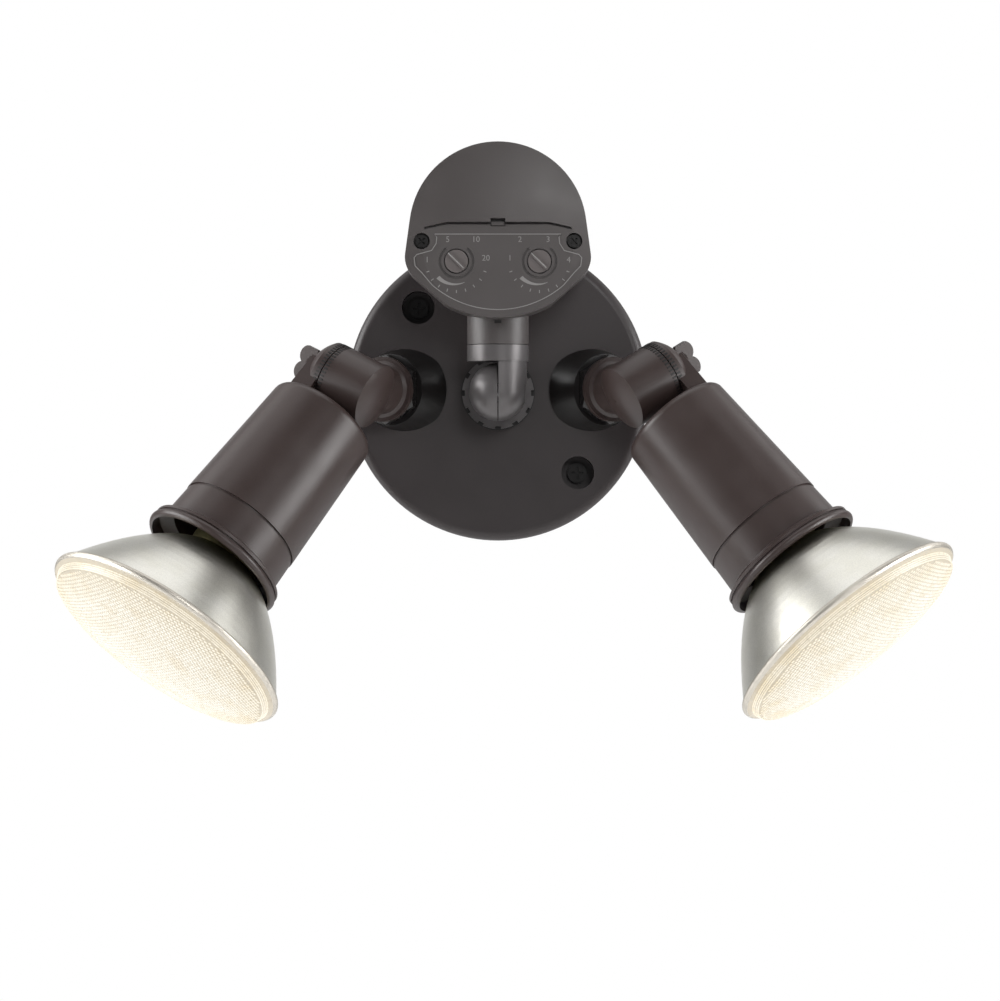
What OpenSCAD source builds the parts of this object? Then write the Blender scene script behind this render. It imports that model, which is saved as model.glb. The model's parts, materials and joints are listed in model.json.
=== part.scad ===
// Twin-head security light with a motion sensor head, for a wall outlet box.
// The wall is the plane Y = 0, the light stands out of it along -Y, and +Z is up.
// The right arm is drawn, and the left arm is its mirror image at angles of its own.

/* [Canopy] */
// Outside diameter of the round canopy
canopy_d = 143; // [136:0.5:150]
// Distance from the wall to the canopy's flat face
canopy_h = 22; // [20:0.5:28]
// Wall thickness of the canopy casting
canopy_wall = 2.4; // [2:0.1:3.5]
// Radius of the canopy's outer edge
canopy_edge_r = 4.5; // [3.5:0.1:6]
// Thickness of the foam gasket against the wall
wall_gasket_t = 2; // [1:0.1:3]
// Width of the foam gasket's ring
wall_gasket_w = 7; // [5:0.5:8]
// Circle through the two cover screws
cover_screw_pcd = 109; // [104:0.5:112]
// Direction of the cover screws, counted from +X toward +Z
cover_screw_angle = 134; // [120:1:150]
// Bore of the wells that sink the cover screws
well_d = 15.6; // [13:0.1:17]
// Depth of the cover screw wells below the face
well_depth = 13; // [10:0.5:14]
// Shank diameter of the cover screws
cover_screw_d = 4.1; // [3.5:0.1:4.8]
// Head diameter of the cover screws
cover_head_d = 9.4; // [7:0.1:11]

/* [Crossbar] */
// Width of the mounting strip
crossbar_w = 16; // [13:0.5:20]
// Thickness of the mounting strip
crossbar_t = 1.8; // [1.5:0.1:2.5]
// Circle through the two outlet box screw holes
box_screw_pcd = 88.9; // [83:0.1:92]
// Diameter of the outlet box screw holes
box_screw_hole_d = 5; // [4.2:0.1:6]
// Shank diameter of the earth screw
ground_screw_d = 4.8; // [4:0.1:5]
// Distance of the earth screw from the centre of the strip
ground_screw_offset = 22; // [16:0.5:28]

/* [Arms] */
// Distance between the two arm stems at the canopy's face
arm_spacing = 95; // [90:0.5:100]
// Outward lean of each stem from the wall's normal
arm_splay = 25.5; // [20:0.5:28]
// Thread diameter of a stem
stem_d = 21; // [19:0.1:22]
// Length of a stem below the canopy's face
stem_tail = 13; // [11:0.5:15]
// Radial clearance of a stem or a shaft in its hole
running_clearance = 0.06; // [0.02:0.01:0.1]
// Gap between faces that turn past each other
face_gap = 0.3; // [0.2:0.05:0.5]
// Height of the knuckle's axis above the canopy's face, along the stem
knuckle_h = 42.5; // [41:0.5:48]
// Diameter of the stem between its flange and the knuckle
neck_d = 24; // [22:0.5:25]
// Diameter of the stem's flange
flange_d = 30.6; // [28:0.1:33]
// Thickness of the stem's flange
flange_t = 3; // [2:0.1:3.5]
// Bore for the leads inside a stem
lead_bore_d = 9; // [7:0.5:11]
// Centre height of the rubber wedge under the locknut
wedge_h = 8.2; // [8:0.1:9]
// Top diameter of the rubber wedge
wedge_top_d = 33.8; // [33:0.1:34.5]
// Foot diameter of the rubber wedge
wedge_foot_d = 38.5; // [36:0.5:40]
// Width across the flats of a locknut
locknut_af = 28.6; // [26:0.1:29]
// Thickness of a locknut
locknut_t = 5.4; // [4:0.1:6]

/* [Knuckles] */
// Diameter of the knuckle's two drums
drum_d = 31; // [29:0.5:32]
// Length of the stem's drum from the stem axis to the toothed seam
drum_seam = 12.5; // [12.2:0.1:14]
// Length of the stem's drum from the stem axis to its inner end
drum_inner = 10.5; // [9:0.5:12]
// Length of the lamp holder's drum without its round end
drum_outer = 4; // [3:0.5:8]
// Radius of the round end on the stem's drum
cap_r = 36; // [24:1:60]
// Radius of the round end on the lamp holder's drum
outer_cap_r = 19; // [17:0.5:30]
// Width of the groove that parts the two drums
seam_gap = 0.5; // [0.3:0.05:0.8]
// Shank diameter of the wing screw
wing_shank_d = 6; // [5:0.1:7]
// Span of the wing screw's wings
wing_span = 16; // [13:0.5:20]
// Length of the wings past the head
wing_l = 7.5; // [6:0.5:10]
// Thickness of the wings
wing_t = 2.6; // [2:0.1:3.5]
// Outside diameter of the threaded insert in the stem's drum
insert_d = 10; // [9:0.1:12]
// Length of the threaded insert
insert_l = 12; // [9:0.5:14]

/* [Pose at rest] */
// Turn of the left stem
left_turn = 24.5; // [20:0.5:30]
// Tilt of the left lamp from the stem's direction
left_tilt = 54; // [50:0.5:60]
// Turn of the right stem
right_turn = 29; // [25:0.5:35]
// Tilt of the right lamp from the stem's direction
right_tilt = 58; // [52:0.5:62]
// Lean of the left bulb and socket in the lamp holder, down and sideways
left_lean = [2.3, -1.4]; // [-2.5:0.1:2.5]
// Lean of the right bulb and socket in the lamp holder, down and sideways
right_lean = [0, -0.4]; // [-2.5:0.1:2.5]

/* [Lamp holders] */
// Sideways distance from the stem axis to the lamp axis
holder_shift = 3.6; // [2:0.1:5]
// Distance from the knuckle's axis to the lamp holder's top
holder_top = 21; // [20:0.5:25]
// Distance from the knuckle's axis to the mouth of the lamp holder
holder_mouth = 112.6; // [108:0.1:118]
// Diameter of the lamp holder below its round shoulder
holder_top_d = 53; // [50:0.5:56]
// Diameter of the lamp holder above the collar
holder_body_d = 59.4; // [57:0.1:61]
// Length of the collar with the mouth
collar_l = 23.6; // [20:0.1:27]
// Diameter of the rolled bead at the mouth
bead_d = 69.2; // [67:0.1:72]
// Inside diameter of the mouth
mouth_d = 64.4; // [63.5:0.1:65]
// Wall thickness of the lamp holder
holder_wall = 2.6; // [2:0.1:3.5]
// Radius of the lamp holder's shoulder
shoulder_r = 4; // [2:0.5:6]
// Width of the web between the drum and the lamp holder
web_w = 23; // [18:0.5:27]

/* [Sockets] */
// Outside diameter of the socket body
socket_d = 38; // [34:0.5:42]
// Thickness of the socket's floor
socket_floor_t = 5; // [4:0.5:6]
// Inside diameter of the brass screw shell
shell_bore = 27; // [26.6:0.1:28]
// Wall thickness of the brass screw shell
shell_wall = 0.6; // [0.4:0.1:1]
// Shank diameter of the socket screws
socket_screw_d = 3.4; // [3:0.1:4]
// Inside diameter of the rubber ring round the bulb's neck
neck_ring_bore = 43; // [42:0.5:45]

/* [Bulbs] */
// Overall length of a bulb
bulb_l = 135; // [132:0.5:137]
// Diameter of a bulb over its rim
bulb_d = 120.6; // [118:0.1:124]
// Distance from the mouth of the lamp holder to the front of the bulb
bulb_proud = 52.6; // [51:0.1:55]
// Diameter of the screw base
base_d = 26.2; // [25.8:0.1:26.4]
// Length of the screw base
base_l = 24; // [21:0.5:26]
// Diameter of the bulb's neck
bulb_neck_d = 35; // [33:0.5:37]
// Four times the focal length of the reflector
reflector_4f = 72; // [70:0.5:76]
// Thickness of the bulb's glass
glass_t = 2.2; // [1.8:0.1:2.8]
// Width of the crimped ring between reflector and lens
rim_w = 3.6; // [3:0.1:5]
// Height of the lens's round front above its rim
lens_rise = 11; // [9:0.5:13]
// Diameter of the burner inside the bulb
burner_d = 12; // [9:0.5:14]

/* [Sensor stem] */
// Height of the sensor's stem above the canopy's centre
sensor_z = -1.5; // [-3:0.5:0]
// Distance from the wall to the sensor's tilt axis
sensor_out = 46; // [45:0.5:50]
// Thread diameter of the sensor's stem
sensor_stem_d = 20; // [18:0.1:21]
// Diameter of the sensor's swivel ball
ball_d = 27.2; // [26:0.1:28]
// Outside diameter of the sensor's notched locknut
sensor_nut_d = 34; // [32:0.5:36]
// Thickness of the sensor's locknut
sensor_nut_t = 4; // [3:0.5:5]
// Thickness of the rubber washer under the sensor's locknut
sensor_washer_t = 1.6; // [1:0.1:2]
// Number of notches round the sensor's locknut
sensor_nut_notches = 12; // [8:1:16]
// Diameter of the sensor's pivot screw
pivot_d = 5; // [4:0.1:6]

/* [Sensor head] */
// Radius of the head's round end
head_r = 41; // [39:0.5:42]
// Height of the round end's centre above the tilt axis
head_rise = 74; // [72:0.5:75]
// Radius of the head's lower edge
head_foot_r = 50; // [46:0.5:54]
// Distance from the head's lower edge to the tilt axis
head_foot = 33.5; // [32:0.5:36]
// Radius of the head's lower corners
head_corner_r = 12; // [9:0.5:13]
// Width of the head over its lower corners
head_w = 86; // [84:0.5:88]
// Distance from the wall to the back of the head
head_back = 40; // [39:0.5:43]
// Distance from the wall to the joint between housing and dial cover
head_split = 66; // [64:0.5:68]
// Distance from the wall to the front of the head
head_front = 81; // [80:0.5:84]
// Wall thickness of the head's shells
head_wall = 2; // [1.6:0.1:2.6]
// Radius of the dial cover's domed upper part
dome_r = 200; // [180:5:240]
// Height of the slit above the tilt axis
slit_rise = 77; // [75:0.5:80]
// Diameter of the neck's collar
collar_d = 28.8; // [27:0.1:30]
// Height of the joint between collar and yoke above the tilt axis
pan_rise = 22; // [21:0.5:24]
// Diameter of the journal that the head pans on
pan_pin_d = 18; // [16:0.5:20]
// Distance between the two dials
knob_spacing = 38.3; // [36:0.1:42]
// Height of the dials above the tilt axis
knob_rise = 59.5; // [57:0.5:62]
// Diameter of a dial knob
knob_d = 10.6; // [9:0.1:12]
// Diameter of a dial knob's shaft
knob_shaft_d = 4; // [3:0.1:5]
// Distance between the two housing screws
head_screw_spacing = 70.4; // [68:0.1:72]
// Height of the housing screws above the tilt axis
head_screw_rise = 68.8; // [67:0.1:71]
// Diameter of the housing screws' heads
head_screw_head_d = 6; // [5:0.1:7]
// Half angle of the lens window round the head's end
lens_half_angle = 72; // [55:1:80]
// Width of the lens window
lens_w = 17; // [14:0.5:18]
// Thickness of the sensor's lens
lens_t = 1.2; // [0.8:0.1:1.6]

/* [Hidden] */
$fn = 96;

bronze = [0.20, 0.165, 0.15];
black = [0.06, 0.06, 0.06];
zinc = [0.62, 0.63, 0.65];
brass = [0.72, 0.58, 0.30];
cut = 1;
joined = 0.5;
sunk = 1;
loose = 0.4;
slot_share = 0.62;
screw_end = 0.3;
canopy_r = canopy_d / 2;
drum_r = drum_d / 2;
nut_low = wedge_h + face_gap;
nut_high = nut_low + locknut_t;
flange_low = nut_high + face_gap;
boss_wall = 4;
boss_h = 11;
sensor_boss_h = 8;
wall_gasket_d = canopy_d - 2;
rubber_gap = 0.3;
flange_high = flange_low + flange_t;
flange_bevel = 1.3;
nut_cone_h = 12;
nut_cone_d = locknut_af + 1.4;
well_floor = canopy_h - well_depth;
well_wall = 2;
cover_head_h = 2.6;
cover_slot_depth = 1.6;
tap_clearance = 0.05;
crossbar_end = 6;
ground_head_d = 8.4;
ground_head_h = 2.6;
ground_slot_depth = 1.2;
lead_d = 3;
lead_gap = lead_d / 2 + 0.4;
stem_lead_d = 2.4;

cap_rise = cap_r - sqrt(cap_r * cap_r - drum_r * drum_r);
outer_low = drum_seam + seam_gap;
outer_mid = outer_low + drum_outer;
outer_rise = outer_cap_r - sqrt(outer_cap_r * outer_cap_r - drum_r * drum_r);
outer_end = outer_mid + outer_rise;
wing_seat = outer_end - 0.6;
wing_head_d = 9;
wing_head_h = 3;
wing_tip = drum_seam - insert_l + 1;
wing_lobe_d = wing_span * 0.62;

holder_groove = holder_mouth - collar_l;
groove_w = 1.2;
groove_depth = 0.9;
roof_t = 4;
holder_depth = holder_mouth - holder_top;
groove_h = holder_groove - holder_top;
holder_bore_r = holder_body_d / 2 - holder_wall - groove_depth;
web_inset = 0.5;
bead_t = 3.8;
ridge_h = 5.6;
ridge_w = 1.4;
ridge_gap = 1.9;
ridge_step = 0.7;
mouth_wall = 1;
collar_step = 0.3;
collar_flare = 0.5;
mouth_flare_h = 9;
pad_d = socket_d - 4;
roof_low = holder_top + roof_t;
socket_screw_x = 9.5;
neck_ring_h = 3.6;
neck_ring_low = holder_groove + 3;

bulb_front = holder_mouth + bulb_proud;
bulb_tip = bulb_front - bulb_l;
socket_seat = 2.2;
lean_gap = 0.7;
socket_low = bulb_tip - socket_seat;
lean_h = socket_low - lean_gap;
shell_low = socket_low + socket_floor_t;
pad_low = lean_h - face_gap;
tip_h = 1.6;
insulator_h = 4.4;
base_low = bulb_tip + tip_h + insulator_h;
base_high = base_low + base_l;
rim_low = bulb_front - lens_rise - rim_w;
rim_high = rim_low + rim_w;
bulb_r = bulb_d / 2;
reflector_inset = 1.2;
reflector_r = bulb_r - reflector_inset;
rim_seat = 1;
reflector_high = rim_low + rim_seat;
reflector_apex = reflector_high - reflector_r * reflector_r / reflector_4f;
contact_gap = 0.3;
contact_t = 1;
contact_d = 12;
contact_low = bulb_tip - contact_gap - contact_t;
tip_d = 9;
base_wall = 0.8;
base_joint_h = 4;
socket_high = base_high - base_joint_h - face_gap;
base_lap = 2.4;
burner_l = 26;
burner_leg_d = 2;
base_step = 0.6;
neck_flare_h = 3;
pinch_drop = 1;
pinch_low = base_high - pinch_drop;
pinch_wall = 1.5;
crimp_in = 6;
rim_lip = 0.6;
lens_foot_w = 4;

ball_r = ball_d / 2;
sensor_nut_low = canopy_h + sensor_washer_t + face_gap;
sensor_nut_high = sensor_nut_low + sensor_nut_t;
sensor_stem_tail = 12;
notch_depth = 1.3;
notch_w = 2.8;
half_gap = 0.25;
ball_neck_d = ball_d - 1.2;
sensor_bore_d = 8;
pivot_low = -ball_r + 4;
pivot_head_d = 8.6;
pivot_head_low = ball_r - 4;
ball_gap = 0.7;
neck_low = ball_r + ball_gap;
pan_pin_h = 7;
knob_recess_d = 16.4;
knob_recess_h = 1.6;
knob_h = 2.6;
knob_gap = 0.5;
rib_w = 1.8;
rib_h = 0.8;
groove_in_d = 14.2;
scale_groove_h = 0.6;
groove_open = 80;
panel_out = head_front - 3.1;
dome_drop = 5.5;
knob_floor = panel_out - knob_recess_h;
cover_t = 5.9;
slit_l = 68;
slit_w = 1.1;
slit_depth = 1.9;
slit_bend = 23.5;
slit_drop = 2.3;
tab_w = 6;
tab_gap = 0.4;
tab_low = 1.4;
tab_high = 0.7;
tab_room = 2.2;
corner_rise = head_foot_r - sqrt(pow(head_foot_r - head_corner_r, 2) - pow(head_w / 2 - head_corner_r, 2));
back_step = 3;
screw_post_d = 7.6;
head_screw_d = 3;
head_screw_seat = panel_out - 3.9;
head_screw_head_h = 2.2;
head_slot_depth = 1.3;
screw_hole_h = 12;
lens_in_r = head_r - lens_t - 0.3;
lens_lap = 1.5;
lens_reach = 10.5;
lip_step = 1;
neck_in = 10;
post_hole_d = screw_post_d + 2 * loose;
board_w = 58;
board_h = 47;
board_rise = 17;
detector_rise = 55;
detector_d = 9.2;
detector_h = 4;
relay_rise = 40;
relay_size = [19, 15, 13];
pot_w = 10;
pot_h = 4.6;
board_t = 1.6;
board_out = head_split - 8;
board_front = board_out + board_t;
seal_t = 1;
seal_w = 1.8;

left = -1;
right = 1;
function turn_of(side) = side > 0 ? right_turn : left_turn;
function tilt_of(side) = side > 0 ? right_tilt : left_tilt;
function lean_of(side) = side > 0 ? right_lean : left_lean;

// Frames

// Wall frame: X right, Y up and Z out of the wall
module wall_frame() rotate([90, 0, 0]) children();

module on_side(side) {
  if (side > 0) children();
  else mirror([1, 0, 0]) children();
}

// Stem frame: Z along the stem from the canopy's face, X outward
module stem_frame(side) {
  on_side(side) translate([arm_spacing / 2, -canopy_h, 0]) rotate([90, 0, arm_splay]) children();
}

// Knuckle frame: X along the knuckle's axis toward the wing screw
module knuckle_frame(side) {
  stem_frame(side) rotate([0, 0, turn_of(side)]) translate([0, 0, knuckle_h]) children();
}

// Lamp frame: Z along the lamp holder, from the knuckle's axis
module lamp_frame(side) {
  knuckle_frame(side) rotate([tilt_of(side), 0, 0]) translate([holder_shift, 0, 0]) children();
}

// Bulb frame: the lamp frame, leaned about the socket's seat
module bulb_frame(side) {
  lamp_frame(side) translate([0, 0, lean_h]) rotate([lean_of(side)[0], lean_of(side)[1], 0])
    translate([0, 0, -lean_h]) children();
}

// Ball frame: the wall frame moved to the sensor's tilt axis
module ball_frame() wall_frame() translate([0, sensor_z, sensor_out]) children();

// Head frame: the wall frame with Y counted from the sensor's tilt axis
module head_frame() wall_frame() translate([0, sensor_z, 0]) children();

// Shapes

// All that lies further out from the wall than the given distance
module in_front_of(out) wall_frame() translate([-canopy_d, -canopy_d, out])
  cube([2 * canopy_d, 2 * canopy_d, canopy_h]);

module up_neck() translate([0, 0, sensor_out]) rotate([-90, 0, 0]) children();

module bar(low, high, d) translate([0, 0, low]) cylinder(h = high - low, d = d);

module cross_bar(low, high, d) rotate([0, 90, 0]) bar(low, high, d);

module cone_bar(low, high, d1, d2) translate([0, 0, low]) cylinder(h = high - low, d1 = d1, d2 = d2);

module half_pan(r, h, edge) {
  square([r - edge, h]);
  square([r, h - edge]);
  translate([r - edge, h - edge]) circle(edge);
}

function unit(v) = v / norm(v);

// A wire through the given points, which lie about level in Z
module wire(points, d) {
  last = len(points) - 1;
  sides = 10;
  rings = [for (i = [0 : last])
    let (
      along = unit(unit(points[min(i + 1, last)] - points[max(i - 1, 0)])),
      across = unit(cross(along, [0, 0, 1])),
      over = cross(across, along)
    )
    for (k = [0 : sides - 1])
      points[i] + d / 2 * (cos(k * 360 / sides) * across + sin(k * 360 / sides) * over)];
  walls = [for (i = [0 : last - 1], k = [0 : sides - 1])
    let (next = (k + 1) % sides)
    [i * sides + k, (i + 1) * sides + k, (i + 1) * sides + next, i * sides + next]];
  ends = [[for (k = [0 : sides - 1]) k], [for (k = [sides - 1 : -1 : 0]) last * sides + k]];
  polyhedron(rings, concat(walls, ends));
}

// A cross recess in a screw head, cut downward from z = 0
module cross_slot(d, depth) {
  for (turn = [45, 135]) rotate([0, 0, turn]) translate([-d / 2, -d / 10, -depth])
    cube([d, d / 5, depth + cut]);
}

// Canopy and what fastens it

module at_cover_screws() {
  for (end = [0, 180]) rotate([0, 0, cover_screw_angle + end]) translate([cover_screw_pcd / 2, 0, 0])
    children();
}

module canopy() color(bronze) difference() {
  union() {
    wall_frame() translate([0, 0, wall_gasket_t]) rotate_extrude() difference() {
      half_pan(canopy_r, canopy_h - wall_gasket_t, canopy_edge_r);
      translate([0, -cut]) half_pan(canopy_r - canopy_wall, canopy_h - wall_gasket_t - canopy_wall + cut,
        canopy_edge_r - canopy_wall);
    }
    wall_frame() at_cover_screws() bar(well_floor - well_wall, canopy_h - sunk, well_d + 2 * well_wall);
    head_frame() bar(canopy_h - sensor_boss_h, canopy_h - sunk, sensor_stem_d + 2 * boss_wall);
    for (side = [left, right]) difference() {
      stem_frame(side) bar(-boss_h, canopy_wall, stem_d + 2 * boss_wall);
      in_front_of(canopy_h - sunk);
    }
  }
  wall_frame() at_cover_screws() {
    bar(well_floor, canopy_h + cut, well_d);
    bar(0, canopy_h, cover_screw_d + 2 * loose);
  }
  head_frame() bar(0, canopy_h + cut, sensor_stem_d + 2 * running_clearance);
  for (side = [left, right]) stem_frame(side) bar(-2 * boss_h, 2 * boss_h, stem_d + 2 * running_clearance);
}

module strip(h, gap) rotate([0, 0, cover_screw_angle])
  translate([-cover_screw_pcd / 2 - crossbar_end - gap, -crossbar_w / 2 - gap, 0])
    cube([cover_screw_pcd + 2 * (crossbar_end + gap), crossbar_w + 2 * gap, h]);

module wall_gasket() color(black) wall_frame() difference() {
  bar(0, wall_gasket_t, wall_gasket_d);
  bar(-cut, wall_gasket_t + cut, wall_gasket_d - 2 * wall_gasket_w);
  translate([0, 0, -cut]) strip(wall_gasket_t + 2 * cut, rubber_gap);
}

module crossbar() color(zinc) wall_frame() difference() {
  strip(crossbar_t, 0);
  rotate([0, 0, cover_screw_angle]) {
    for (end = [-1, 1]) {
      translate([end * cover_screw_pcd / 2, 0, 0])
        bar(-cut, crossbar_t + cut, cover_screw_d + 2 * tap_clearance);
      translate([end * box_screw_pcd / 2, 0, 0]) bar(-cut, crossbar_t + cut, box_screw_hole_d);
    }
    translate([ground_screw_offset, 0, 0]) bar(-cut, crossbar_t + cut, ground_screw_d + 2 * tap_clearance);
  }
}

module cover_screws() color(black) wall_frame() at_cover_screws() {
  difference() {
    bar(well_floor, well_floor + cover_head_h, cover_head_d);
    translate([0, 0, well_floor + cover_head_h]) cross_slot(cover_head_d * slot_share, cover_slot_depth);
  }
  bar(screw_end, well_floor + joined, cover_screw_d);
}

module ground_screw() color("green") wall_frame() rotate([0, 0, cover_screw_angle])
  translate([ground_screw_offset, 0, 0]) {
    difference() {
      bar(crossbar_t, crossbar_t + ground_head_h, ground_head_d);
      translate([0, 0, crossbar_t + ground_head_h]) cross_slot(ground_head_d * slot_share, ground_slot_depth);
    }
    bar(screw_end, crossbar_t + joined, ground_screw_d);
  }

// The stem's inner end in the wall frame
tail_x = arm_spacing / 2 - (stem_tail + lead_gap) * sin(arm_splay);
tail_out = canopy_h - (stem_tail + lead_gap) * cos(arm_splay);
splice_x = 9;
splice_shift = -13;
splice_y = -40;
splice_l = 19;
splice_out = 10;
lead_bend = 14;
lead_loop = 9;
splice_d = 15;
splice_bore_d = 8;
splice_bore_h = 11.4;

module splice_caps() color("darkorange") wall_frame() {
  for (side = [left, right]) translate([side * splice_x + splice_shift, splice_y, splice_out])
    rotate([-90, 0, 0]) difference() {
      cone_bar(0, splice_l, splice_d, splice_d * 0.6);
      bar(-cut, splice_bore_h, splice_bore_d);
    }
}

module canopy_leads() color("ivory") wall_frame() {
  for (side = [left, right]) {
    mouth_x = side * splice_x + splice_shift;
    wire([[side * tail_x, 0, tail_out], [side * (tail_x - 2), -lead_bend, tail_out - 1],
      [mouth_x + side * lead_loop, splice_y - lead_loop, splice_out], [mouth_x, splice_y - 6, splice_out],
      [mouth_x, splice_y + splice_bore_h - face_gap, splice_out]], lead_d);
  }
}

// Arms

module wedge_gasket(side) color(black) difference() {
  intersection() {
    stem_frame(side) cone_bar(-wedge_h, wedge_h, 2 * wedge_foot_d - wedge_top_d, wedge_top_d);
    in_front_of(canopy_h);
  }
  stem_frame(side) bar(-2 * wedge_h, 2 * wedge_h, stem_d + 2 * rubber_gap);
}

module stem(side) color(bronze) {
  difference() {
    union() {
      stem_frame(side) {
        bar(-stem_tail, flange_low + joined, stem_d);
        bar(flange_low, flange_high, flange_d);
        cone_bar(flange_high - joined, flange_high + flange_bevel, flange_d - 2 * flange_bevel, neck_d);
        bar(flange_high - joined, knuckle_h, neck_d);
      }
      knuckle_frame(side) rotate([0, 90, 0]) rotate_extrude() {
        translate([0, -drum_inner]) square([drum_r, drum_inner + drum_seam]);
        intersection() {
          translate([0, cap_r - drum_inner - cap_rise]) circle(cap_r);
          translate([0, -drum_inner - cap_rise]) square([drum_r, cap_rise + joined]);
        }
      }
    }
    stem_frame(side) bar(-stem_tail - cut, knuckle_h - insert_d, lead_bore_d);
    knuckle_frame(side) cross_bar(drum_seam - insert_l, drum_seam + cut, insert_d);
  }
}

module pivot_insert(side) color(brass) knuckle_frame(side) difference() {
  cross_bar(drum_seam - insert_l, drum_seam, insert_d);
  cross_bar(wing_tip - face_gap, drum_seam + cut, wing_shank_d + 2 * running_clearance);
}

module stem_leads(side) color("ivory") stem_frame(side) {
  for (x = [-1, 1]) translate([x * (lead_bore_d - lead_d) / 4, 0, 0])
    bar(-stem_tail, knuckle_h - insert_d, stem_lead_d);
}

module locknut(side) color(black) stem_frame(side) difference() {
  intersection() {
    translate([0, 0, nut_low]) rotate([0, 0, 30]) cylinder(h = locknut_t, d = locknut_af / cos(30), $fn = 6);
    cone_bar(nut_high - nut_cone_h, nut_high, nut_cone_d + 2 * nut_cone_h, nut_cone_d);
  }
  bar(nut_low - cut, nut_high + cut, stem_d + 2 * running_clearance);
}

module wing_screw(side) color(bronze) knuckle_frame(side) {
  cross_bar(wing_tip, wing_seat + joined, wing_shank_d);
  cross_bar(wing_seat, wing_seat + wing_head_h, wing_head_d);
  intersection() {
    translate([wing_seat + joined, -wing_span / 2, -wing_t / 2])
      cube([wing_l + wing_head_h, wing_span, wing_t]);
    for (lobe = [-1, 1]) translate([wing_seat + wing_head_h + 1, lobe * wing_span / 4, 0])
      bar(-wing_t / 2, wing_t / 2, wing_lobe_d);
  }
}

// Lamp holders and sockets

module holder_outer() {
  top_r = holder_top_d / 2;
  body_r = holder_body_d / 2;
  lip_r = bead_d / 2;
  square([top_r - shoulder_r, holder_depth / 2]);
  translate([top_r - shoulder_r, shoulder_r]) circle(shoulder_r);
  polygon([[0, shoulder_r], [top_r, shoulder_r], [body_r, groove_h], [0, groove_h]]);
  translate([0, groove_h - joined]) square([body_r - groove_depth, groove_w + 2 * joined]);
  polygon([[0, groove_h + groove_w], [body_r - collar_step, groove_h + groove_w],
    [body_r + collar_flare, holder_depth - ridge_h - ridge_gap],
    [lip_r - ridge_step, holder_depth - ridge_h], [lip_r - ridge_step, holder_depth - ridge_h + ridge_w],
    [0, holder_depth - ridge_h + ridge_w]]);
  translate([0, holder_depth - ridge_h]) square([mouth_d / 2 + mouth_wall, ridge_h - bead_t / 2]);
  translate([lip_r - bead_t / 2, holder_depth - bead_t / 2]) circle(d = bead_t);
  translate([0, holder_depth - bead_t]) square([lip_r - bead_t / 2, bead_t]);
}

module holder_inner() {
  polygon([[0, roof_t], [holder_top_d / 2 - holder_wall, roof_t], [holder_bore_r, groove_h],
    [holder_bore_r, holder_depth - mouth_flare_h], [mouth_d / 2, holder_depth - ridge_h],
    [mouth_d / 2, holder_depth + cut], [0, holder_depth + cut]]);
}

module lamp_holder(side) color(bronze) difference() {
  union() {
    lamp_frame(side) {
      translate([0, 0, holder_top]) rotate_extrude() difference() {
        holder_outer();
        holder_inner();
      }
      bar(roof_low - sunk, pad_low, pad_d);
    }
    knuckle_frame(side) rotate([0, 90, 0]) rotate_extrude() {
      translate([0, outer_low]) square([drum_r, drum_outer]);
      intersection() {
        translate([0, outer_mid + outer_rise - outer_cap_r]) circle(outer_cap_r);
        translate([0, outer_mid - joined]) square([drum_r, outer_rise + 2 * joined]);
      }
    }
    knuckle_frame(side) rotate([tilt_of(side), 0, 0]) intersection() {
      translate([outer_low + web_inset, -web_w / 2, 0])
        cube([outer_end - outer_low - 2 * web_inset, web_w, holder_top + roof_t / 2]);
      translate([holder_shift, 0, 0]) bar(0, holder_top + roof_t, holder_top_d - 2 * shoulder_r);
    }
  }
  knuckle_frame(side) {
    cross_bar(outer_low - cut, outer_end + cut, wing_shank_d + 2 * running_clearance);
    cross_bar(wing_seat - face_gap, outer_end + cut, wing_head_d + 2);
  }
  bulb_frame(side) at_socket_screws() bar(roof_low - roof_t / 2, socket_low, socket_screw_d + 2 * loose);
}

module at_socket_screws() for (x = [-1, 1]) translate([x * socket_screw_x, 0, 0]) children();

module socket(side) color("white") bulb_frame(side) difference() {
  bar(socket_low, socket_high, socket_d);
  bar(shell_low, socket_high + cut, shell_bore + 2 * shell_wall);
  bar(contact_low, socket_high, shell_bore - 6);
  at_socket_screws() bar(socket_low - cut, socket_high, socket_screw_d + 2 * tap_clearance);
}

module screw_shell(side) color(brass) bulb_frame(side) difference() {
  bar(shell_low, socket_high - 1, shell_bore + 2 * shell_wall);
  bar(shell_low - cut, socket_high, shell_bore);
}

module centre_contact(side) color(brass) bulb_frame(side)
  bar(contact_low, contact_low + contact_t, contact_d);

module socket_screws(side) color(zinc) bulb_frame(side) at_socket_screws()
  bar(roof_low - roof_t / 2 + face_gap, shell_low, socket_screw_d);

module neck_ring(side) color(black) lamp_frame(side) difference() {
  bar(neck_ring_low, neck_ring_low + neck_ring_h, 2 * holder_bore_r);
  bar(neck_ring_low - cut, neck_ring_low + neck_ring_h + cut, neck_ring_bore);
}

// Bulbs

neck_meet = reflector_apex + bulb_neck_d * bulb_neck_d / 4 / reflector_4f;
reflector_steps = 14;
function reflector_h(r) = reflector_apex + r * r / reflector_4f;
function reflector_points(r_low, r_high, inset) = [for (i = [0 : reflector_steps])
  let (r = r_low + (r_high - r_low) * i / reflector_steps) [r - inset, reflector_h(r)]];

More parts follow.
